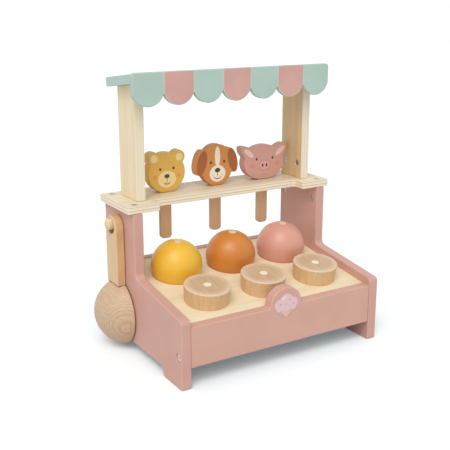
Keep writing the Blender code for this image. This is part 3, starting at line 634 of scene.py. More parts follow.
# %% Side panels
screw_head, screw_sink, screw_edge, head_deep, screw_above = 5.2, 0.8, 0.5, 2.6, 14.0
back_set, back_above, bolt_in = 3.4, 1.0, 10.0
nut_below, panel_nut_deep, shoulder = 19.0, 10.0, 87.2
foot, arch_foot, arch_top = 46.0, 52.0, 12.7
back_front = depth - back_set - sheet
back_top = tray_height(back_front) + back_above
front_screw = ((front_face + tray_start) / 2, board_low + screw_above)
back_screw = (back_front + sheet / 2, (board_low + back_top) / 2)
panel_bolts = (column + bolt_in, depth - bolt_in)
panel_nut, panel_top = shelf_low - nut_below, shelf_low - gap
panel_outline = rounded([
    (0, 0, 2.5), (0, shoulder, 6), (column, shoulder + column * math.tan(slope), 8),
    (column, panel_top, 1.7), (depth, panel_top, 1.7), (depth, 0, 2.5), (depth - foot, 0, 3),
    (depth - arch_foot, arch_top, 3), (arch_foot, arch_top, 3), (foot, 0, 3),
])
for side, word in sides:
    face = side * inner_face
    seat = side * (half_width - screw_sink - head_deep)
    nut_floor = face + side * panel_nut_deep
    holes = [hole(disc(y, z, screw_head + gap), screw_edge, seat, side > 0)
             for y, z in (front_screw, back_screw)]
    holes += [hole(disc(y, panel_nut, nut + gap), fine_edge, nut_floor, side < 0) for y in panel_bolts]
    shape = board(panel_outline, *sorted((face, side * half_width)), edge=1.6, holes=holes)
    put(f"{word}_side_panel", shape, pink_paint, directions=to_right, grain="b")
print("side panels", made["left_side_panel"], "faces each")

# %% [markdown]
# ## Front board and back board
# The front board carries a round bump in the middle of its top edge, joined by two small fillets. The
# bump holds a painted badge: a plain ice cream, which is a cone under three round scoops, all in paler
# pinks. It is painted by the board's own recipe, so it lies in the paint as print does and needs no
# picture.

# %% A recipe for painted motifs
def oval(x, z, across, up, tone=None, soft=None, turn=0, kind="oval"):
    """One shape of a drawing: its middle, half width, half height, colour, softness and turn in degrees."""
    return kind, x, z, across, up, turn, tone, soft


def both(x, z, across, up, tone=None, soft=None, turn=0, kind="oval"):
    """A shape on the left, and its mirror image on the right."""
    return [oval(-x, z, across, up, tone, soft, turn, kind), oval(x, z, across, up, tone, soft, -turn, kind)]


def so_far(material):
    """What paint over a finish needs: node tree, shader, the colour so far, coordinates, and their parts."""
    tree = material.node_tree
    shader = tree.nodes["Principled BSDF"]
    where = own_place(tree)
    parts = add(tree, "SeparateXYZ", None, Vector=where).outputs
    return tree, shader, shader.inputs["Base Color"].links[0].from_socket, where, parts


def in_front(tree, y, front, clear):
    """1 on a flat front face, and 0 where its edge has turned back by more than clear millimetres."""
    face = float(home[1]) + front * MM
    return spread(tree, y, face + (clear - 0.1) * MM, face + (clear + 0.1) * MM, 1.0, 0.0)


def paint_shapes(material, shapes, x, z, front, size=1.0):
    """Paints shapes about x, z over a finish, on the face that looks forward, each over the last.

    The Mapping node moves the point into the shape's own frame, where an oval is all points nearer than
    1, and a diamond those whose |x| + |z| is under 1.
    """
    tree, shader, plain, where, (_, y, _) = so_far(material)
    painted = plain
    any_depth = 1000.0
    for kind, aside, above, across, up, turn, tone, soft in shapes:
        spot = tuple(home + np.array([x + aside * size, 0, z + above * size]) * MM)
        local = add(tree, "Mapping", {"vector_type": "TEXTURE"}, Vector=where, Location=spot,
                    Rotation=(0, -math.radians(turn), 0),
                    Scale=(across * size * MM, any_depth, up * size * MM)).outputs[0]
        if kind == "diamond":
            local = worked(tree, "ABSOLUTE", local, kind="VectorMath")
            far = worked(tree, "DOT_PRODUCT", local, (1, 0, 1), kind="VectorMath", output="Value")
        else:
            far = worked(tree, "LENGTH", local, kind="VectorMath", output="Value")
        painted = blend(tree, spread(tree, far, 1 - soft, 1 + soft, 1.0, 0.0), painted, tone)
    ahead = in_front(tree, y, front, 0.3)
    tree.links.new(blend(tree, ahead, plain, painted), shader.inputs["Base Color"])


# %% Front board and back board
bump, fillet = 24.0, 2.5
lift = math.asin(fillet / (bump + fillet))
toe, toe_height = (bump + fillet) * math.cos(lift), front_top + fillet
half_board = inner_face - snug
front_outline = np.vstack([
    [[-half_board, board_low], [half_board, board_low], [half_board, front_top]],
    arc(toe, toe_height, fillet, -math.pi / 2, -math.pi + lift, 6),
    arc(0, front_top, bump, lift, math.pi - lift, 40)[1:-1],
    arc(-toe, toe_height, fillet, -lift, -math.pi / 2, 6),
    [[-half_board, front_top]],
])
front_paint = satin_paint("front board paint", colour(212, 167, 150))
badge_disc, badge_pale, badge_cone = tones((209, 163, 150), (227, 195, 198), (222, 184, 182))
badge_line, badge_glint = tones((190, 140, 142), (240, 216, 217))
badge_size, badge_above = 0.92, 0.4
badge = [
    oval(0, 2.2, 21.0, 20.0, badge_disc, 0.04),
    oval(0, -3.0, 15.6, 16.4, badge_line, 0.03, kind="diamond"),
    oval(0, -3.0, 14.7, 15.4, badge_cone, 0.03, kind="diamond"),
    *both(9.8, 2.0, 9.4, 8.2, badge_pale, 0.04),
    oval(0, 6.4, 10.6, 9.8, badge_pale, 0.04),
    *both(11.8, -4.4, 4.4, 3.8, badge_pale, 0.05),
    oval(0, -3.8, 6.2, 5.0, badge_pale, 0.05),
    oval(-4.4, 10.6, 3.8, 2.1, badge_glint, 0.3, 32),
]
for x, z, turn in ((-9.4, 2.2, 40), (5.8, 7.0, -35), (11.8, 0.4, 15), (-0.6, 1.6, 70)):
    badge.append(oval(x, z, 1.6, 0.7, badge_line, 0.2, turn))
paint_shapes(front_paint, badge, 0, front_top + badge_above, front_face, badge_size)
shape = board(front_outline, -tray_start, -front_face, edge=1.2)
put("front_board", shape, front_paint, directions=to_front)
back_outline = rectangle((-half_board, half_board), (board_low, back_top))
shape = board(back_outline, -back_front - sheet, -back_front, edge=1.2)
put("back_board", shape, pink_paint, directions=to_front)
print("front board", made["front_board"], "faces, back board", made["back_board"])

# %% [markdown]
# ## The tray
# The tray is a sheet of plywood that slopes down to the front. Three cone holes and three larger ball
# holes are bored square to it, each with a slightly broken edge. It is drawn flat, as the joiner would
# cut it, and its directions lay it on the slope.

# %% Tray
tray_thick, tray_short, cone_hole = 9.0, 0.8, 21.6
cone_share, ball_share = 0.228, 0.674
cone_row = tray_start + cone_share * (back_front - tray_start)
ball_row = tray_start + ball_share * (back_front - tray_start)
ball, ball_rise = 34.0, 14.0
ball_hole = math.sqrt((ball + gap) ** 2 - ball_rise**2)
pitch = (inner_face + ball_hole) / 2
uphill = np.array([0, math.cos(slope), math.sin(slope)])
square = np.array([0, -math.sin(slope), math.cos(slope)])
tray_home = np.array([0, tray_start, front_top])
tray_ends = [(y - tray_start) / math.cos(slope) for y in (tray_start + gap, back_front - tray_short)]
rows = [(y - tray_start) / math.cos(slope) for y in (cone_row, ball_row)]
holes = []
for k, _ in columns:
    holes.append(hole(disc(k * pitch, rows[0], cone_hole, 64), hole_edge))
    holes.append(hole(disc(k * pitch, rows[1], ball_hole, 72), hole_edge))
tray_outline = rectangle((-inner_face, inner_face), tray_ends)
shape = board(tray_outline, -tray_thick, 0.0, edge=0.3, holes=holes, steps=3)
put("tray", shape, tray_ply, directions=(X, uphill, square), start=tray_home)
print("tray", made["tray"], "faces; columns", round(pitch, 2), "mm apart")

# %% [markdown]
# ## The shelf
# The shelf is deeper at its two ends, where it lies on the columns. The stepped corners are rounded.
# Three slots take the sticks, and each bolt head lies in a counterbore. The post bolts come from below,
# so their counterbores open downward.

# %% Shelf
shelf_over, step_in, middle_deep = 7.0, 38.0, 68.0
post_bolts = (post_front + bolt_in, post_front + post_deep - bolt_in)
shelf_middle = depth - middle_deep
lolly_line, lolly_pitch = (shelf_middle + depth) / 2, 78.0
slot_wide, slot_deep = 8.6, 4.1
shelf_end, shelf_step = half_width + shelf_over, half_width - step_in
shelf_outline = rounded([
    (-shelf_end, depth, 3), (-shelf_end, column, 3), (-shelf_step, column, 2),
    (-shelf_step, shelf_middle, 4), (shelf_step, shelf_middle, 4), (shelf_step, column, 2),
    (shelf_end, column, 3), (shelf_end, depth, 3),
])
slot_along = (lolly_line - slot_deep, lolly_line + slot_deep)
holes = []
for k, _ in columns:
    x = k * lolly_pitch
    holes.append(hole(rectangle((x - slot_wide, x + slot_wide), slot_along, (1, 1)), hole_edge))
for side, _ in sides:
    x = side * (half_width - panel / 2)
    holes += [hole(disc(x, y, well), hole_edge, shelf_top - well_deep) for y in panel_bolts]
    holes += [hole(disc(side * post_middle, y, well), fine_edge, shelf_low + well_deep, False)
              for y in post_bolts]
shape = board(shelf_outline, shelf_low, shelf_top, edge=1.2, holes=holes)
put("shelf", shape, shelf_ply)
print("shelf", made["shelf"], "faces")

# %% [markdown]
# ## Posts, roof board and valance
# The posts are plywood, cut at the top to the roof's tilt. The roof board is mint. The valance hides its
# front edge: seven half-round scallops, painted mint all over and then pink on every other petal of its
# face, so the pink stops where the edge starts to turn.

# %% Posts
tilt = math.radians(7.2)
valance_out, valance_thick = 3.5, 7.5
valance_front = column - valance_out
roof_front, roof_below = valance_front + valance_thick + gap, 1.5
post_nut_deep = 9.6


def roof_height(y):
    """Height of the roof board's upper face: it falls towards the back."""
    return stand_top - roof_below - (y - roof_front) * math.tan(tilt)


roof_upright = sheet / math.cos(tilt)
post_low, post_rear = shelf_top + snug, post_front + post_deep
post_outline = rounded([
    (post_front, post_low, 1), (post_rear, post_low, 1),
    (post_rear, roof_height(post_rear) - roof_upright - snug, 1),
    (post_front, roof_height(post_front) - roof_upright - snug, 1),
])
for side, word in sides:
    middle = side * post_middle
    nut_floor = side * (post_middle - half_post) + side * post_nut_deep
    holes = [hole(disc(y, shelf_top + nut_above, nut + gap), fine_edge, nut_floor, side < 0)
             for y in post_bolts]
    shape = board(post_outline, middle - half_post, middle + half_post, edge=0.8, holes=holes)
    finish = birch_plywood(f"{word} post plywood", *post_tones_with_painted_shade[word], ply=2.1)
    put(f"{word}_post", shape, finish, directions=to_right, grain="b")
print("posts", made["left_post"], "faces each")

# %% Roof board
roof_in, roof_short, roof_trim = 2.5, 12.0, 0.2
half_roof = half_width - roof_in
downhill = np.array([0, math.cos(tilt), -math.sin(tilt)])
roof_up = np.array([0, math.sin(tilt), math.cos(tilt)])
roof_home = np.array([0, roof_front, roof_height(roof_front)])
roof_long = (depth - roof_short - roof_front) / math.cos(tilt) - roof_trim
screw_y = (post_front + post_rear) / 2
screw_row = (screw_y - roof_front) / math.cos(tilt)
holes = [hole(disc(side * post_middle, screw_row, well), hole_edge, -well_deep) for side, _ in sides]
roof_outline = rectangle((-half_roof, half_roof), (0, roof_long), (1, 1))
shape = board(roof_outline, -sheet, 0.0, edge=0.9, holes=holes)
put("roof_board", shape, mint_paint, directions=(X, downhill, roof_up), start=roof_home)
print("roof board", made["roof_board"], "faces")

# %% Valance
petals = 7
petal = half_roof / petals
petal_round, petal_drop = 21.8, 19.8
petal_line = stand_top - petal_drop
notch, top_round = 0.75, 4.5
at_end, at_notch = math.acos(petal / petal_round), math.acos((petal - notch) / petal_round)
notch_height = petal_line - petal_round * math.sin(at_notch) + notch
corner_low = stand_top - top_round
corner_top = rounded([(half_roof, corner_low, 0), (half_roof, stand_top, top_round),
                      (-half_roof, stand_top, top_round), (-half_roof, corner_low, 0)])
valance_loop = [corner_top[1:-1]]
for k in range(petals):
    middle = -half_roof + petal * (2 * k + 1)
    start = -math.pi + (at_end if k == 0 else at_notch)
    stop = -(at_end if k == petals - 1 else at_notch)
    valance_loop.append(arc(middle, petal_line, petal_round, start, stop, 28))
    if k < petals - 1:
        valance_loop.append(np.array([[middle + petal, notch_height]]))
valance_loop = np.vstack(valance_loop)
print("valance loop", len(valance_loop), "points")


# %% The valance's paint
def petal_paint(name, border=1.0, soft=0.15):
    """Mint paint, with pink inside a thin pale border on every other petal of the face.

    A petal is a half disc below its centre and a strip above it, so a point's reach is the length of its
    offset across and its offset below the centre, and the border is where that reach comes near the
    petal's radius.
    """
    material = satin_paint(name, mint)
    tree, shader, plain, where, (x, y, z) = so_far(material)
    width = 2 * petal * MM
    count = worked(tree, "MULTIPLY_ADD", x, 1 / width, float(half_roof * MM - home[0]) / width)
    parity = worked(tree, "PINGPONG", worked(tree, "FLOOR", count), 1.0)
    across = worked(tree, "MULTIPLY_ADD", worked(tree, "FRACT", count), width, -width / 2)
    aside = worked(tree, "ABSOLUTE", across)
    below = worked(tree, "MAXIMUM", worked(tree, "SUBTRACT", petal_line * MM, z), 0.0)
    squares = [worked(tree, "MULTIPLY", offset, offset) for offset in (aside, below)]
    reach = worked(tree, "SQRT", worked(tree, "ADD", *squares))
    inner = [spread(tree, value, (edge - border - soft) * MM, (edge - border + soft) * MM, 1.0, 0.0)
             for value, edge in ((reach, petal_round), (aside, petal))]
    odd = worked(tree, "MULTIPLY", parity, in_front(tree, y, valance_front, 0.5))
    clouds = spread(tree, noise(tree, where, 26.0, 3.0), 0.3, 0.7)
    rose = blend(tree, clouds, *tones((204, 157, 148), (212, 167, 158)))
    tone = blend(tree, odd, plain, colour(198, 208, 190))
    filled = worked(tree, "MULTIPLY", odd, worked(tree, "MULTIPLY", *inner))
    tree.links.new(blend(tree, filled, tone, rose), shader.inputs["Base Color"])
    return material


shape = board(valance_loop, -valance_front - valance_thick, -valance_front, edge=1.0)
put("scalloped_valance", shape, petal_paint("petal paint"), directions=to_front)
print("valance", made["scalloped_valance"], "faces")

# %% [markdown]
# ## Balls
# Each ball is turned, painted and drilled for a magnet above and below. It rests on the rim of its hole,
# with its magnets square to the tray. The profile runs from one pocket's floor, round the ball and into
# the other pocket, so ball and pockets are one closed surface.

# %% Balls and their magnets
pocket, pocket_deep, pocket_edge = 5.6, 3.1, 0.25
level = math.sqrt(ball**2 - pocket**2)
lean = math.asin((pocket + pocket_edge) / ball)
ball_profile = np.vstack([
    [[0, -level + pocket_deep], [pocket, -level + pocket_deep]],
    [[pocket, -level + pocket_edge]],
    arc(0, 0, ball, -math.pi / 2 + lean, math.pi / 2 - lean, 64),
    [[pocket, level - pocket_edge]],
    [[pocket, level - pocket_deep], [0, level - pocket_deep]],
])
cap_out, cap_round, cap_thick = 5.3, 0.4, 2.8
cap_edge = arc(cap_out - cap_round, -cap_round, cap_round, 0, math.pi / 2, 4)[1:-1]
cap_profile = np.vstack([
    [[0, -cap_thick], [cap_out - 0.2, -cap_thick], [cap_out, 0.2 - cap_thick], [cap_out, -cap_round]],
    cap_edge,
    [[4.6, 0.0], [2.4, 0.0], [0, 0.0]],
])
cap, ball_shape = turned(cap_profile, facets=40), turned(ball_profile, facets=96)
upright, flipped = (X, uphill, square), (X, -uphill, -square)
ball_tones = {
    "yellow": ("yellow_paint", tones((240, 190, 60), (233, 177, 46))),
    "orange": ("orange_paint", tones((210, 133, 57), (200, 120, 45))),
    "pink": ("rose_paint", tones((220, 160, 142), (211, 147, 129))),
}
for (k, _), (word, (slot_name, pair)) in zip(columns, ball_tones.items()):
    centre = np.array([k * pitch, ball_row, tray_height(ball_row)]) + ball_rise * square
    body = f"{word}_ball"
    paint = ball_paint(f"{word} ball paint", pair)
    put(body, ball_shape, paint, body, upright, centre, smooth=40)
    for where, way, frame_of in (("top", 1, upright), ("lower", -1, flipped)):
        place = centre + way * square * level
        put(f"{word}_ball_{where}_magnet", cap, ball_caps_painted_shade, body, frame_of, place)
print("balls", made["orange_ball"], "faces each")

# %% [markdown]
# ## Cones
# A cone is one turned piece of beech: a straight collar with a rounded rim that rests on the tray, and a
# tapered stem below it. The grain runs up the cone, so the top shows end grain.

# %% Cones
cone_out, cone_high, rim_round = 29.8, 22.5, 1.5
stem_long, stem_end, stem_out, foot_out = 56.0, 7.0, 21.0, 28.0
cone_profile = np.vstack([
    [[0, -stem_long], [stem_end - 0.8, -stem_long], [stem_end, 0.8 - stem_long]],
    [[stem_out, -9.0], [stem_out, 0.15], [foot_out - 0.4, 0.15], [foot_out, 0.55]],
    arc(cone_out - rim_round, cone_high - rim_round, rim_round, 0, math.pi / 2, 6),
    [[20.0, cone_high], [12.0, cone_high], [pocket + pocket_edge, cone_high]],
    [[pocket, cone_high - pocket_edge], [pocket, cone_high - pocket_deep], [0, cone_high - pocket_deep]],
])
cone_points, cone_faces = turned(cone_profile, facets=96)
out, up = np.hypot(cone_points[:, 0], cone_points[:, 1]), cone_points[:, 2]
on_top = ((up > cone_high - 0.2) & (out < cone_out - 1.2)).astype(float)
on_rim = ((up > cone_high - 1.3) & (out > cone_out - 1.8)).astype(float)
cone_shape = (cone_points, cone_faces, on_top, on_rim)
for k, word in columns:
    seat = np.array([k * pitch, cone_row, tray_height(cone_row)])
    top = seat + cone_high * square
    body = f"{word}_cone"
    put(body, cone_shape, cone_beech, body, upright, seat, grain="c", smooth=40)
    put(f"{word}_cone_magnet", cap, caps, body, upright, top)
print("cones", made["left_cone"], "faces each")

# %% [markdown]
# ## Lollies
# Each lolly is a flat painted head on a beech stick: a bear, a puppy and a piglet. A head's outline is
# the furthest reach of a few ovals and leaves along each ray from its middle. That gives one smooth loop
# with no crossings, which a board can take as it is.

# %% Outlines of the heads
def reach_of(shape, angle):
    """How far rays from the middle run before they leave an oval or a leaf, or 0 where they miss it.

    A leaf is what two equal discs share. In the shape's own frame a ray leaves at the root of a
    quadratic.
    """
    kind, x, z, across, up, turn = shape[:6]
    turn = math.radians(turn)
    cos, sin = math.cos(turn), math.sin(turn)
    start = np.array([-x * cos - z * sin, x * sin - z * cos])
    way = np.stack([np.cos(angle - turn), np.sin(angle - turn)], 1)
    parts = [(0, across, up)]
    if kind == "leaf":
        around = (across**2 + up**2) / (2 * across)
        parts = [(around - across, around, around), (across - around, around, around)]
    enter, leave = np.zeros(len(angle)), np.full(len(angle), np.inf)
    for middle, a, b in parts:
        p = np.array([(start[0] - middle) / a, start[1] / b])
        d = way / [a, b]
        dp, dd = d @ p, (d * d).sum(1)
        inside = dp**2 - dd * (p @ p - 1)
        root = np.sqrt(np.maximum(inside, 0))
        enter = np.where(inside > 0, np.maximum(enter, (-dp - root) / dd), np.inf)
        leave = np.where(inside > 0, np.minimum(leave, (-dp + root) / dd), 0)
    return np.where(leave > enter, leave, 0)


def head_outline(shapes, count=240, soften=2, chin_cut=0.9):
    """The furthest reach along each ray, softened a little where two shapes meet, with a flat chin."""
    angle = (np.arange(count) + 0.5) * math.tau / count
    radius = np.max([reach_of(shape, angle) for shape in shapes], 0)
    for _ in range(soften):
        radius = (np.roll(radius, 1) + 2 * radius + np.roll(radius, -1)) / 4
    points = np.stack([radius * np.cos(angle), radius * np.sin(angle)], 1)
    chin = points[:, 1].min() + chin_cut
    kept = points[points[:, 1] > chin + 0.02]
    order = np.argsort(np.mod(np.arctan2(kept[:, 1], kept[:, 0]) + math.pi / 2, math.tau))
    kept = kept[order]
    return np.column_stack([kept[:, 0], kept[:, 1] - chin + gap]), chin


# %% [markdown]
# The faces are painted with the same recipe as the badge: ovals laid over each other, a large pale one
# for the muzzle, dark ones for eyes and nose. A smile is a dark oval with a muzzle-coloured one laid over
# its upper part.

# %% Heads and faces
ink, cream_paint = tones((74, 54, 46), (246, 234, 212))
bear_pale, bear_brown = tones((240, 214, 150), (150, 104, 44))
puppy_deep, piglet_rose, piglet_pale = tones((168, 92, 36), (190, 120, 112), (238, 200, 190))
piglet_paint, snout = tones((215, 160, 146), (226, 168, 158))
bear_cheek, piglet_cheek = tones((222, 150, 84), (222, 138, 130))
heads = {
    "bear": ("yellow_paint", colour(226, 177, 76), [oval(0, 0, 27.5, 27), *both(18.5, 20, 9, 9)]),
    "puppy": ("orange_paint", colour(212, 138, 64), [oval(0, 0, 25, 29), *both(24.5, 5, 8, 18, turn=-14)]),
    "piglet": ("rose_paint", piglet_paint,
               [oval(0, -2, 34, 25), *both(27, 13, 8, 15, turn=52, kind="leaf")]),
}
drawn = {
    "bear": [
        *both(18.5, 20, 5.2, 5.2, bear_pale, 0.06), oval(0, -8.5, 13.5, 11.2, bear_pale, 0.03),
        oval(0, -12.2, 5.2, 3.6, bear_brown, 0.08), oval(0, -10.6, 5.8, 3.6, bear_pale, 0.06),
        oval(0, -9.0, 0.5, 4.4, bear_brown, 0.2), oval(0, -4.4, 3.9, 2.8, ink, 0.05),
        *both(9.8, 5.6, 1.7, 2.0, ink, 0.1), *both(17.5, -4.5, 3.4, 2.6, bear_cheek, 0.35),
    ],
    "puppy": [
        *both(24.5, 5, 7.4, 17.4, puppy_deep, 0.05, -14),
        oval(0, 12, 4.2, 14, cream_paint, 0.06), oval(0, -11.5, 12.6, 11.5, cream_paint, 0.03),
        oval(0, -15.4, 5.4, 4.0, puppy_deep, 0.08), oval(0, -13.8, 6.0, 4.0, cream_paint, 0.06),
        oval(0, -11.6, 0.55, 4.0, puppy_deep, 0.2), oval(0, -6.8, 4.4, 3.2, ink, 0.05),
        *both(10.6, 4.5, 1.8, 2.2, ink, 0.1),
        *both(7.4, -13.5, 0.6, 0.6, puppy_deep, 0.2), *both(5.6, -16.6, 0.6, 0.6, puppy_deep, 0.2),
    ],
    "piglet": [
        *both(26.5, 13, 3.6, 9.5, piglet_pale, 0.06, 52),
        oval(0, -6, 10.2, 7.4, piglet_rose, 0.03), oval(0, -6, 9.4, 6.6, snout, 0.03),
        *both(3.4, -6, 1.5, 2.6, ink, 0.1), *both(13.6, 3.6, 1.7, 2.0, ink, 0.1),
        oval(0, -17.2, 4.6, 2.6, piglet_rose, 0.1), oval(0, -16.2, 5.0, 2.6, piglet_paint, 0.08),
        *both(21.5, -5.5, 4.0, 3.0, piglet_cheek, 0.35),
    ],
}
print("shapes in each face", {word: len(rows) for word, rows in drawn.items()})

# %% Lollies
half_head, half_stick, stick_wide = 7.5, 3.5, 8.0
stick_in, stick_out, cut_below = 18.0, 64.5, 10.0
stick_outline = rectangle((-stick_wide, stick_wide), (-stick_out, stick_in), (5, 0))
cut_out = np.array([stick_wide + gap, half_stick + gap])
for (k, _), (word, (slot_name, tone, shapes)) in zip(columns, heads.items()):
    x = k * lolly_pitch
    outline, chin = head_outline(shapes)
    paint = satin_paint(f"{word} paint", tone, roughness=0.45, cloud=0.04)
    paint_shapes(paint, drawn[word], x, shelf_top + gap - chin, lolly_line - half_head)
    body = f"{word}_lolly"
    spot = np.array([x, lolly_line, shelf_top])
    shape = board(outline, -half_head, half_head, edge=1.5, steps=6)
    head = put(f"{word}_lolly_head", shape, paint, body, to_front, spot, smooth=50)
    carve(head, spot - [*cut_out, cut_below], spot + [*cut_out, stick_in + gap])
    shape = board(stick_outline, -half_stick, half_stick, edge=0.8)
    put(f"{word}_lolly_stick", shape, stick_beech, body, to_front, spot, grain="b")
print("heads", {word: made[f"{word}_lolly_head"] for word in heads})

# %% [markdown]
# ## The serving scoop
# The scoop hangs on a domed peg. Its bowl is a turned shell whose mouth looks at the panel, and its flat
# handle is let into the bowl's rim. The handle is a board with a round end and a hole, so it is made as
# one.

# %% Peg and handle
hang_height = 168.2
hang = np.array([-half_width, (column + depth) / 2, hang_height])
hung_left = (Y, -Z, -X)
peg, peg_end, peg_dome, peg_deep = 7.5, 19.1, 3.0, 8.0
dome = arc(0, 0, 1, 0, math.pi / 2, 8)[:-1]
peg_profile = np.vstack([[[0, -peg_deep], [peg, -peg_deep]],
                         np.column_stack([peg * dome[:, 0], peg_end - peg_dome + peg_dome * dome[:, 1]]),
                         [[0, peg_end]]])
shape = turned(peg_profile, facets=64)
put("scoop_peg", shape, peg_beech, directions=hung_left, start=hang, grain="c", smooth=50)
bowl_rim, bowl_deep, wall = 44.0, 35.0, 8.5
bowl_clear, bowl_out, handle_above = 2.8, 1.5, 40.9
bowl_drop, inner_rim, bowl_floor = hang_height - bowl_clear - bowl_rim, bowl_rim - wall, bowl_deep - wall
handle_end = -bowl_drop + handle_above
grip, grip_face, grip_back, round_low, eye_low, eye = 16.0, 0.8, 12.3, -5.2, -2.7, 10.5
handle_outline = np.vstack([arc(0, round_low, grip, 0, math.pi, 40), rounded([
    (-grip, round_low, 0), (-grip, handle_end, 0.8), (grip, handle_end, 0.8), (grip, round_low, 0)])[1:-1]])
holes = [hole(disc(0, eye_low, eye, 56), edge=0.6)]
shape = board(handle_outline, -grip_back, -grip_face, edge=1.2, holes=holes)
put("scoop_handle", shape, scoop_beech, "scoop", to_right, hang, grain="b")
print("handle", made["scoop_handle"], "faces, peg", made["scoop_peg"])


# %% Bowl
def shell_arc(rim, deep, lip, steps):
    """Points of a spherical cap, rim to pole. The sphere's radius is (rim² + deep²) / (2 deep)."""
    radius = (rim**2 + deep**2) / (2 * deep)
    start = math.acos((lip - deep + radius) / radius)
    t = np.linspace(start, 0, steps + 1)
    return np.column_stack([radius * np.sin(t), deep - radius + radius * np.cos(t)])


lip = 1.2
outer, inner = shell_arc(bowl_rim, bowl_deep, lip, 40), shell_arc(inner_rim, bowl_floor, lip, 28)
lip_turn = arc(0, 0, 1, 0, math.pi / 2, 4)[1:-1]
flat_out, flat_in = bowl_rim - lip, inner_rim + lip
bowl_profile = np.vstack([
    outer[::-1],
    np.column_stack([flat_out + (outer[0, 0] - flat_out) * lip_turn[:, 0], lip - lip * lip_turn[:, 1]]),
    [[flat_out, 0], [flat_in, 0]],
    np.column_stack([flat_in - (flat_in - inner[0, 0]) * lip_turn[::-1, 0], lip - lip * lip_turn[::-1, 1]]),
    inner[inner[:, 0] > pocket + 0.2],
    [[pocket, bowl_floor - 0.35], [pocket, bowl_floor + pocket_deep], [0, bowl_floor + pocket_deep]],
])
bowl_seat = hang + np.array([-bowl_out, 0, -bowl_drop])
shape = turned(bowl_profile[::-1], facets=96)
bowl = put("scoop_bowl", shape, bowl_beech, "scoop", hung_left, bowl_seat, smooth=40)
pocket_half, past_mouth, past_rim = grip + gap, 2.0, 20.0
pocket_low = hang + [-grip_back - gap, -pocket_half, handle_end - gap]
carve(bowl, pocket_low, hang + [past_mouth, pocket_half, handle_end + past_rim])
put("scoop_magnet", cap, caps, "scoop", to_right, bowl_seat - [bowl_floor, 0, 0])
print("scoop bowl", made["scoop_bowl"], "faces")

# %% [markdown]
# ## Fasteners
# The shelf is bolted to the panels and the posts with pan head bolts, each of which screws into a barrel
# nut: a steel pin with a slot in its end. A head has a hexagon socket, made by giving a few rows of the
# turned profile a hexagon's radius. The thread is a ridge that climbs one pitch in each turn, which makes
# it a true helix on the same grid.

# %% Bolts and screws
def bolt(length, pitch=1.0, head=4.0):
    """A bolt whose head's top is at the start and whose shank runs down. Rows marked 1 are hexagons."""
    core, ridge, socket = 1.72, 0.28, 1.45
    thread_low, thread_high = -length + 0.8, -3.2
    rows = [(0, -length, 0), (1.3, -length, 0)]
    rows += [(core, h, 0) for h in np.arange(thread_low, thread_high + 0.6, pitch / 3)]
    rows += [(1.9, -2.3, 0), (1.9, -2.0, 0), (head - 0.2, -2.0, 0), (head, -1.8, 0), (head, -0.8, 0),
             (head - 0.2, -0.35, 0), (head - 0.7, -0.08, 0), (head - 1.3, 0, 0), (socket + 0.15, 0, 1),
             (socket, -0.2, 1), (socket, -1.3, 1), (0, -1.6, 0)]
    rows = np.array(rows)
    thread = (thread_low, thread_high, pitch, ridge)
    return turned(rows[:, :2], facets=36, hexagon=rows[:, 2], thread=thread)


def front_and_rear(name, shape, places, finish=zinc, directions=(X, Y, Z)):
    """Two like steel pieces, one at a front and one at a rear place."""
    for end, spot in zip(("front", "rear"), places):
        put(f"{name}_{end}", shape, finish, directions=directions, start=spot)


panel_bolt_long, post_bolt_long, side_screw_long, roof_screw_long = 33.7, 36.7, 38.7, 40.0
screw_pitch = 1.4
panel_bolt, post_bolt = bolt(panel_bolt_long), bolt(post_bolt_long)
side_screw, roof_screw = bolt(side_screw_long, screw_pitch, screw_head), bolt(roof_screw_long, screw_pitch)
for side, word in sides:
    over_panel, over_post = side * (half_width - panel / 2), side * post_middle
    on_face = side * (half_width - screw_sink - gap)
    outward = to_right if side > 0 else to_left
    spots = [(over_panel, y, shelf_top - gap) for y in panel_bolts]
    front_and_rear(f"{word}_panel_bolt", panel_bolt, spots)
    spots = [(over_post, y, shelf_low + gap) for y in post_bolts]
    front_and_rear(f"{word}_post_bolt", post_bolt, spots, directions=(X, -Y, -Z))
    spots = [(on_face, y, z) for y, z in (front_screw, back_screw)]
    # These screws wear the zinc with the painted pink reflection.
    front_and_rear(f"{word}_side_screw", side_screw, spots, screw_plate_pink_reflection, outward)
    spot = np.array([over_post, screw_y, roof_height(screw_y)]) - gap * roof_up
    put(f"{word}_roof_screw", roof_screw, zinc, directions=(X, downhill, roof_up), start=spot)
print("a panel bolt", made["left_panel_bolt_front"], "faces")


# %% Barrel nuts
def barrel_nut(length, slot=0.55, slot_deep=0.9, soft=0.3):
    """A pin along h, with its slotted end at 0, as a section carried across it.

    At each place a across the pin the section is a strip as wide as the circle's chord there, which is
    2 sqrt(radius² - a²). It runs from -length up to the end face, or up to the slot's floor where |a| is
    under the slot's half width.
    """
    aside = nut * np.sin(np.linspace(0.04, math.pi / 2 - 0.04, 12))
    aside = aside[aside > slot + 0.1]
    a = np.concatenate([-aside[::-1], [-slot, -slot], [slot, slot], aside])
    n = len(aside)
    end = np.concatenate([np.zeros(n + 1), [-slot_deep, -slot_deep], np.zeros(n + 1)])
    chord = np.sqrt(nut**2 - a**2)
    broken = np.minimum(soft, chord * 0.5)
    base = np.full(len(a), -length)
    b = np.stack([-chord, -chord, -chord + broken, chord - broken, chord, chord], 1)
    h = np.stack([base, end - soft, end, end, end - soft, base], 1)
    points = np.stack([np.repeat(a[:, None], 6, 1), b, h], -1).reshape(-1, 3)
    index = np.arange(len(points)).reshape(-1, 6)
    after = np.roll(index, -1, 1)
    faces = np.stack([index[:-1], index[1:], after[1:], after[:-1]], -1).reshape(-1, 4).tolist()
    faces += [index[0].tolist(), index[-1][::-1].tolist()]
    return points, faces


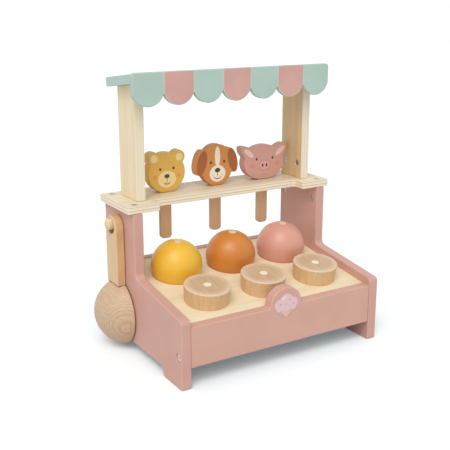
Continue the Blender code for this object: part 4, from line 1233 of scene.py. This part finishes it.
nut_sink, panel_nut_long, post_nut_long = 0.8, 9.0, 8.6
for side, word in sides:
    inward = to_right if side < 0 else to_left
    spots = [(side * (inner_face + nut_sink), y, panel_nut) for y in panel_bolts]
    front_and_rear(f"{word}_panel_nut", barrel_nut(panel_nut_long), spots, directions=inward)
    spots = [(side * (post_middle - half_post + nut_sink), y, shelf_top + nut_above) for y in post_bolts]
    front_and_rear(f"{word}_post_nut", barrel_nut(post_nut_long), spots, directions=inward)
print(len(made), "pieces,", sum(made.values()), "faces in all")

# %% [markdown]
# ## Floor, light and camera
# The photograph is a product shot on white. A floor of matt paper keeps the soft shadow. Where the camera
# sees it, a little bluish light is added, which brings the lit floor to white and leaves the shadow a
# cool grey. A wide, soft sun stands at the front left and above, a narrower one beside it gives each ball
# its highlight, and the world fills in from all sides.

# %% Floor
def seen_directly(tree):
    """1 for rays from the camera, and for those that left a glossy or a clear surface; 0 for the others."""
    rays = add(tree, "LightPath").outputs
    seen = worked(tree, "MAXIMUM", rays["Is Camera Ray"], rays["Is Glossy Ray"])
    return worked(tree, "MAXIMUM", seen, rays["Is Transmission Ray"])


def floor_finish():
    """Matt paper with a little added light for rays from the camera, glossy and clear surfaces."""
    material = bpy.data.materials.new("studio floor")
    material.use_nodes = True
    tree = material.node_tree
    tree.nodes.remove(tree.nodes["Principled BSDF"])
    paper = add(tree, "BsdfDiffuse", None, Color=(0.95, 0.96, 0.95, 1)).outputs[0]
    lift = add(tree, "Emission", None, Color=(0.48, 0.78, 0.95, 1), Strength=0.16).outputs[0]
    lit = add(tree, "AddShader", None, _0=paper, _1=lift).outputs[0]
    plain = add(tree, "BsdfDiffuse", None, Color=(0.74, 0.73, 0.72, 1)).outputs[0]
    shown = add(tree, "MixShader", None, _0=seen_directly(tree), _1=plain, _2=lit).outputs[0]
    tree.links.new(shown, tree.nodes["Material Output"].inputs["Surface"])
    return material


floor_half = 6.0
corners = np.array([(-1, -1, 0), (1, -1, 0), (1, 1, 0), (-1, 1, 0)]) * floor_half
floor = linked("floor", corners, [(0, 1, 2, 3)])
floor.data.materials.append(floor_finish())
print("floor", 2 * floor_half, "m wide")

# %% World and lamps
fill = 0.60
world = bpy.data.worlds.new("studio")
bpy.context.scene.world = world
world.use_nodes = True
tree = world.node_tree
background = tree.nodes["Background"]
background.inputs["Color"].default_value = (1, 1, 1, 1)
tree.links.new(spread(tree, seen_directly(tree), 0.0, 1.0, fill, 1.0), background.inputs["Strength"])


def soft_sun(name, way, width, strength):
    """A sun as wide as a softbox: it lights every place alike, so the floor has no bright middle."""
    lamp = bpy.data.lights.new(name, "SUN")
    lamp.angle = math.radians(width)
    lamp.energy = strength
    holder = bpy.data.objects.new(name, lamp)
    holder.rotation_euler = Vector(way).to_track_quat("-Z", "Y").to_euler()
    bpy.context.scene.collection.objects.link(holder)


soft_sun("key", (0.42, 0.50, -0.76), width=50.0, strength=1.3)
soft_sun("glint", (0.44, 0.42, -0.79), width=14.0, strength=0.4)
print("world fill", fill)

# %% Camera
camera_place = (-550.8, -747.2, 444.0)
camera_down, camera_right = 15.5, 31.6
camera = bpy.data.cameras.new("camera")
camera.sensor_width = 36.0
camera.lens = 63.46
camera.shift_x = 0.0009
camera.shift_y = -0.0093
viewer = bpy.data.objects.new("camera", camera)
viewer.location = home + np.array(camera_place) * MM
viewer.rotation_euler = (math.radians(90 - camera_down), 0, math.radians(-camera_right))
bpy.context.scene.collection.objects.link(viewer)
bpy.context.scene.camera = viewer
bpy.context.scene.view_settings.view_transform = "Standard"
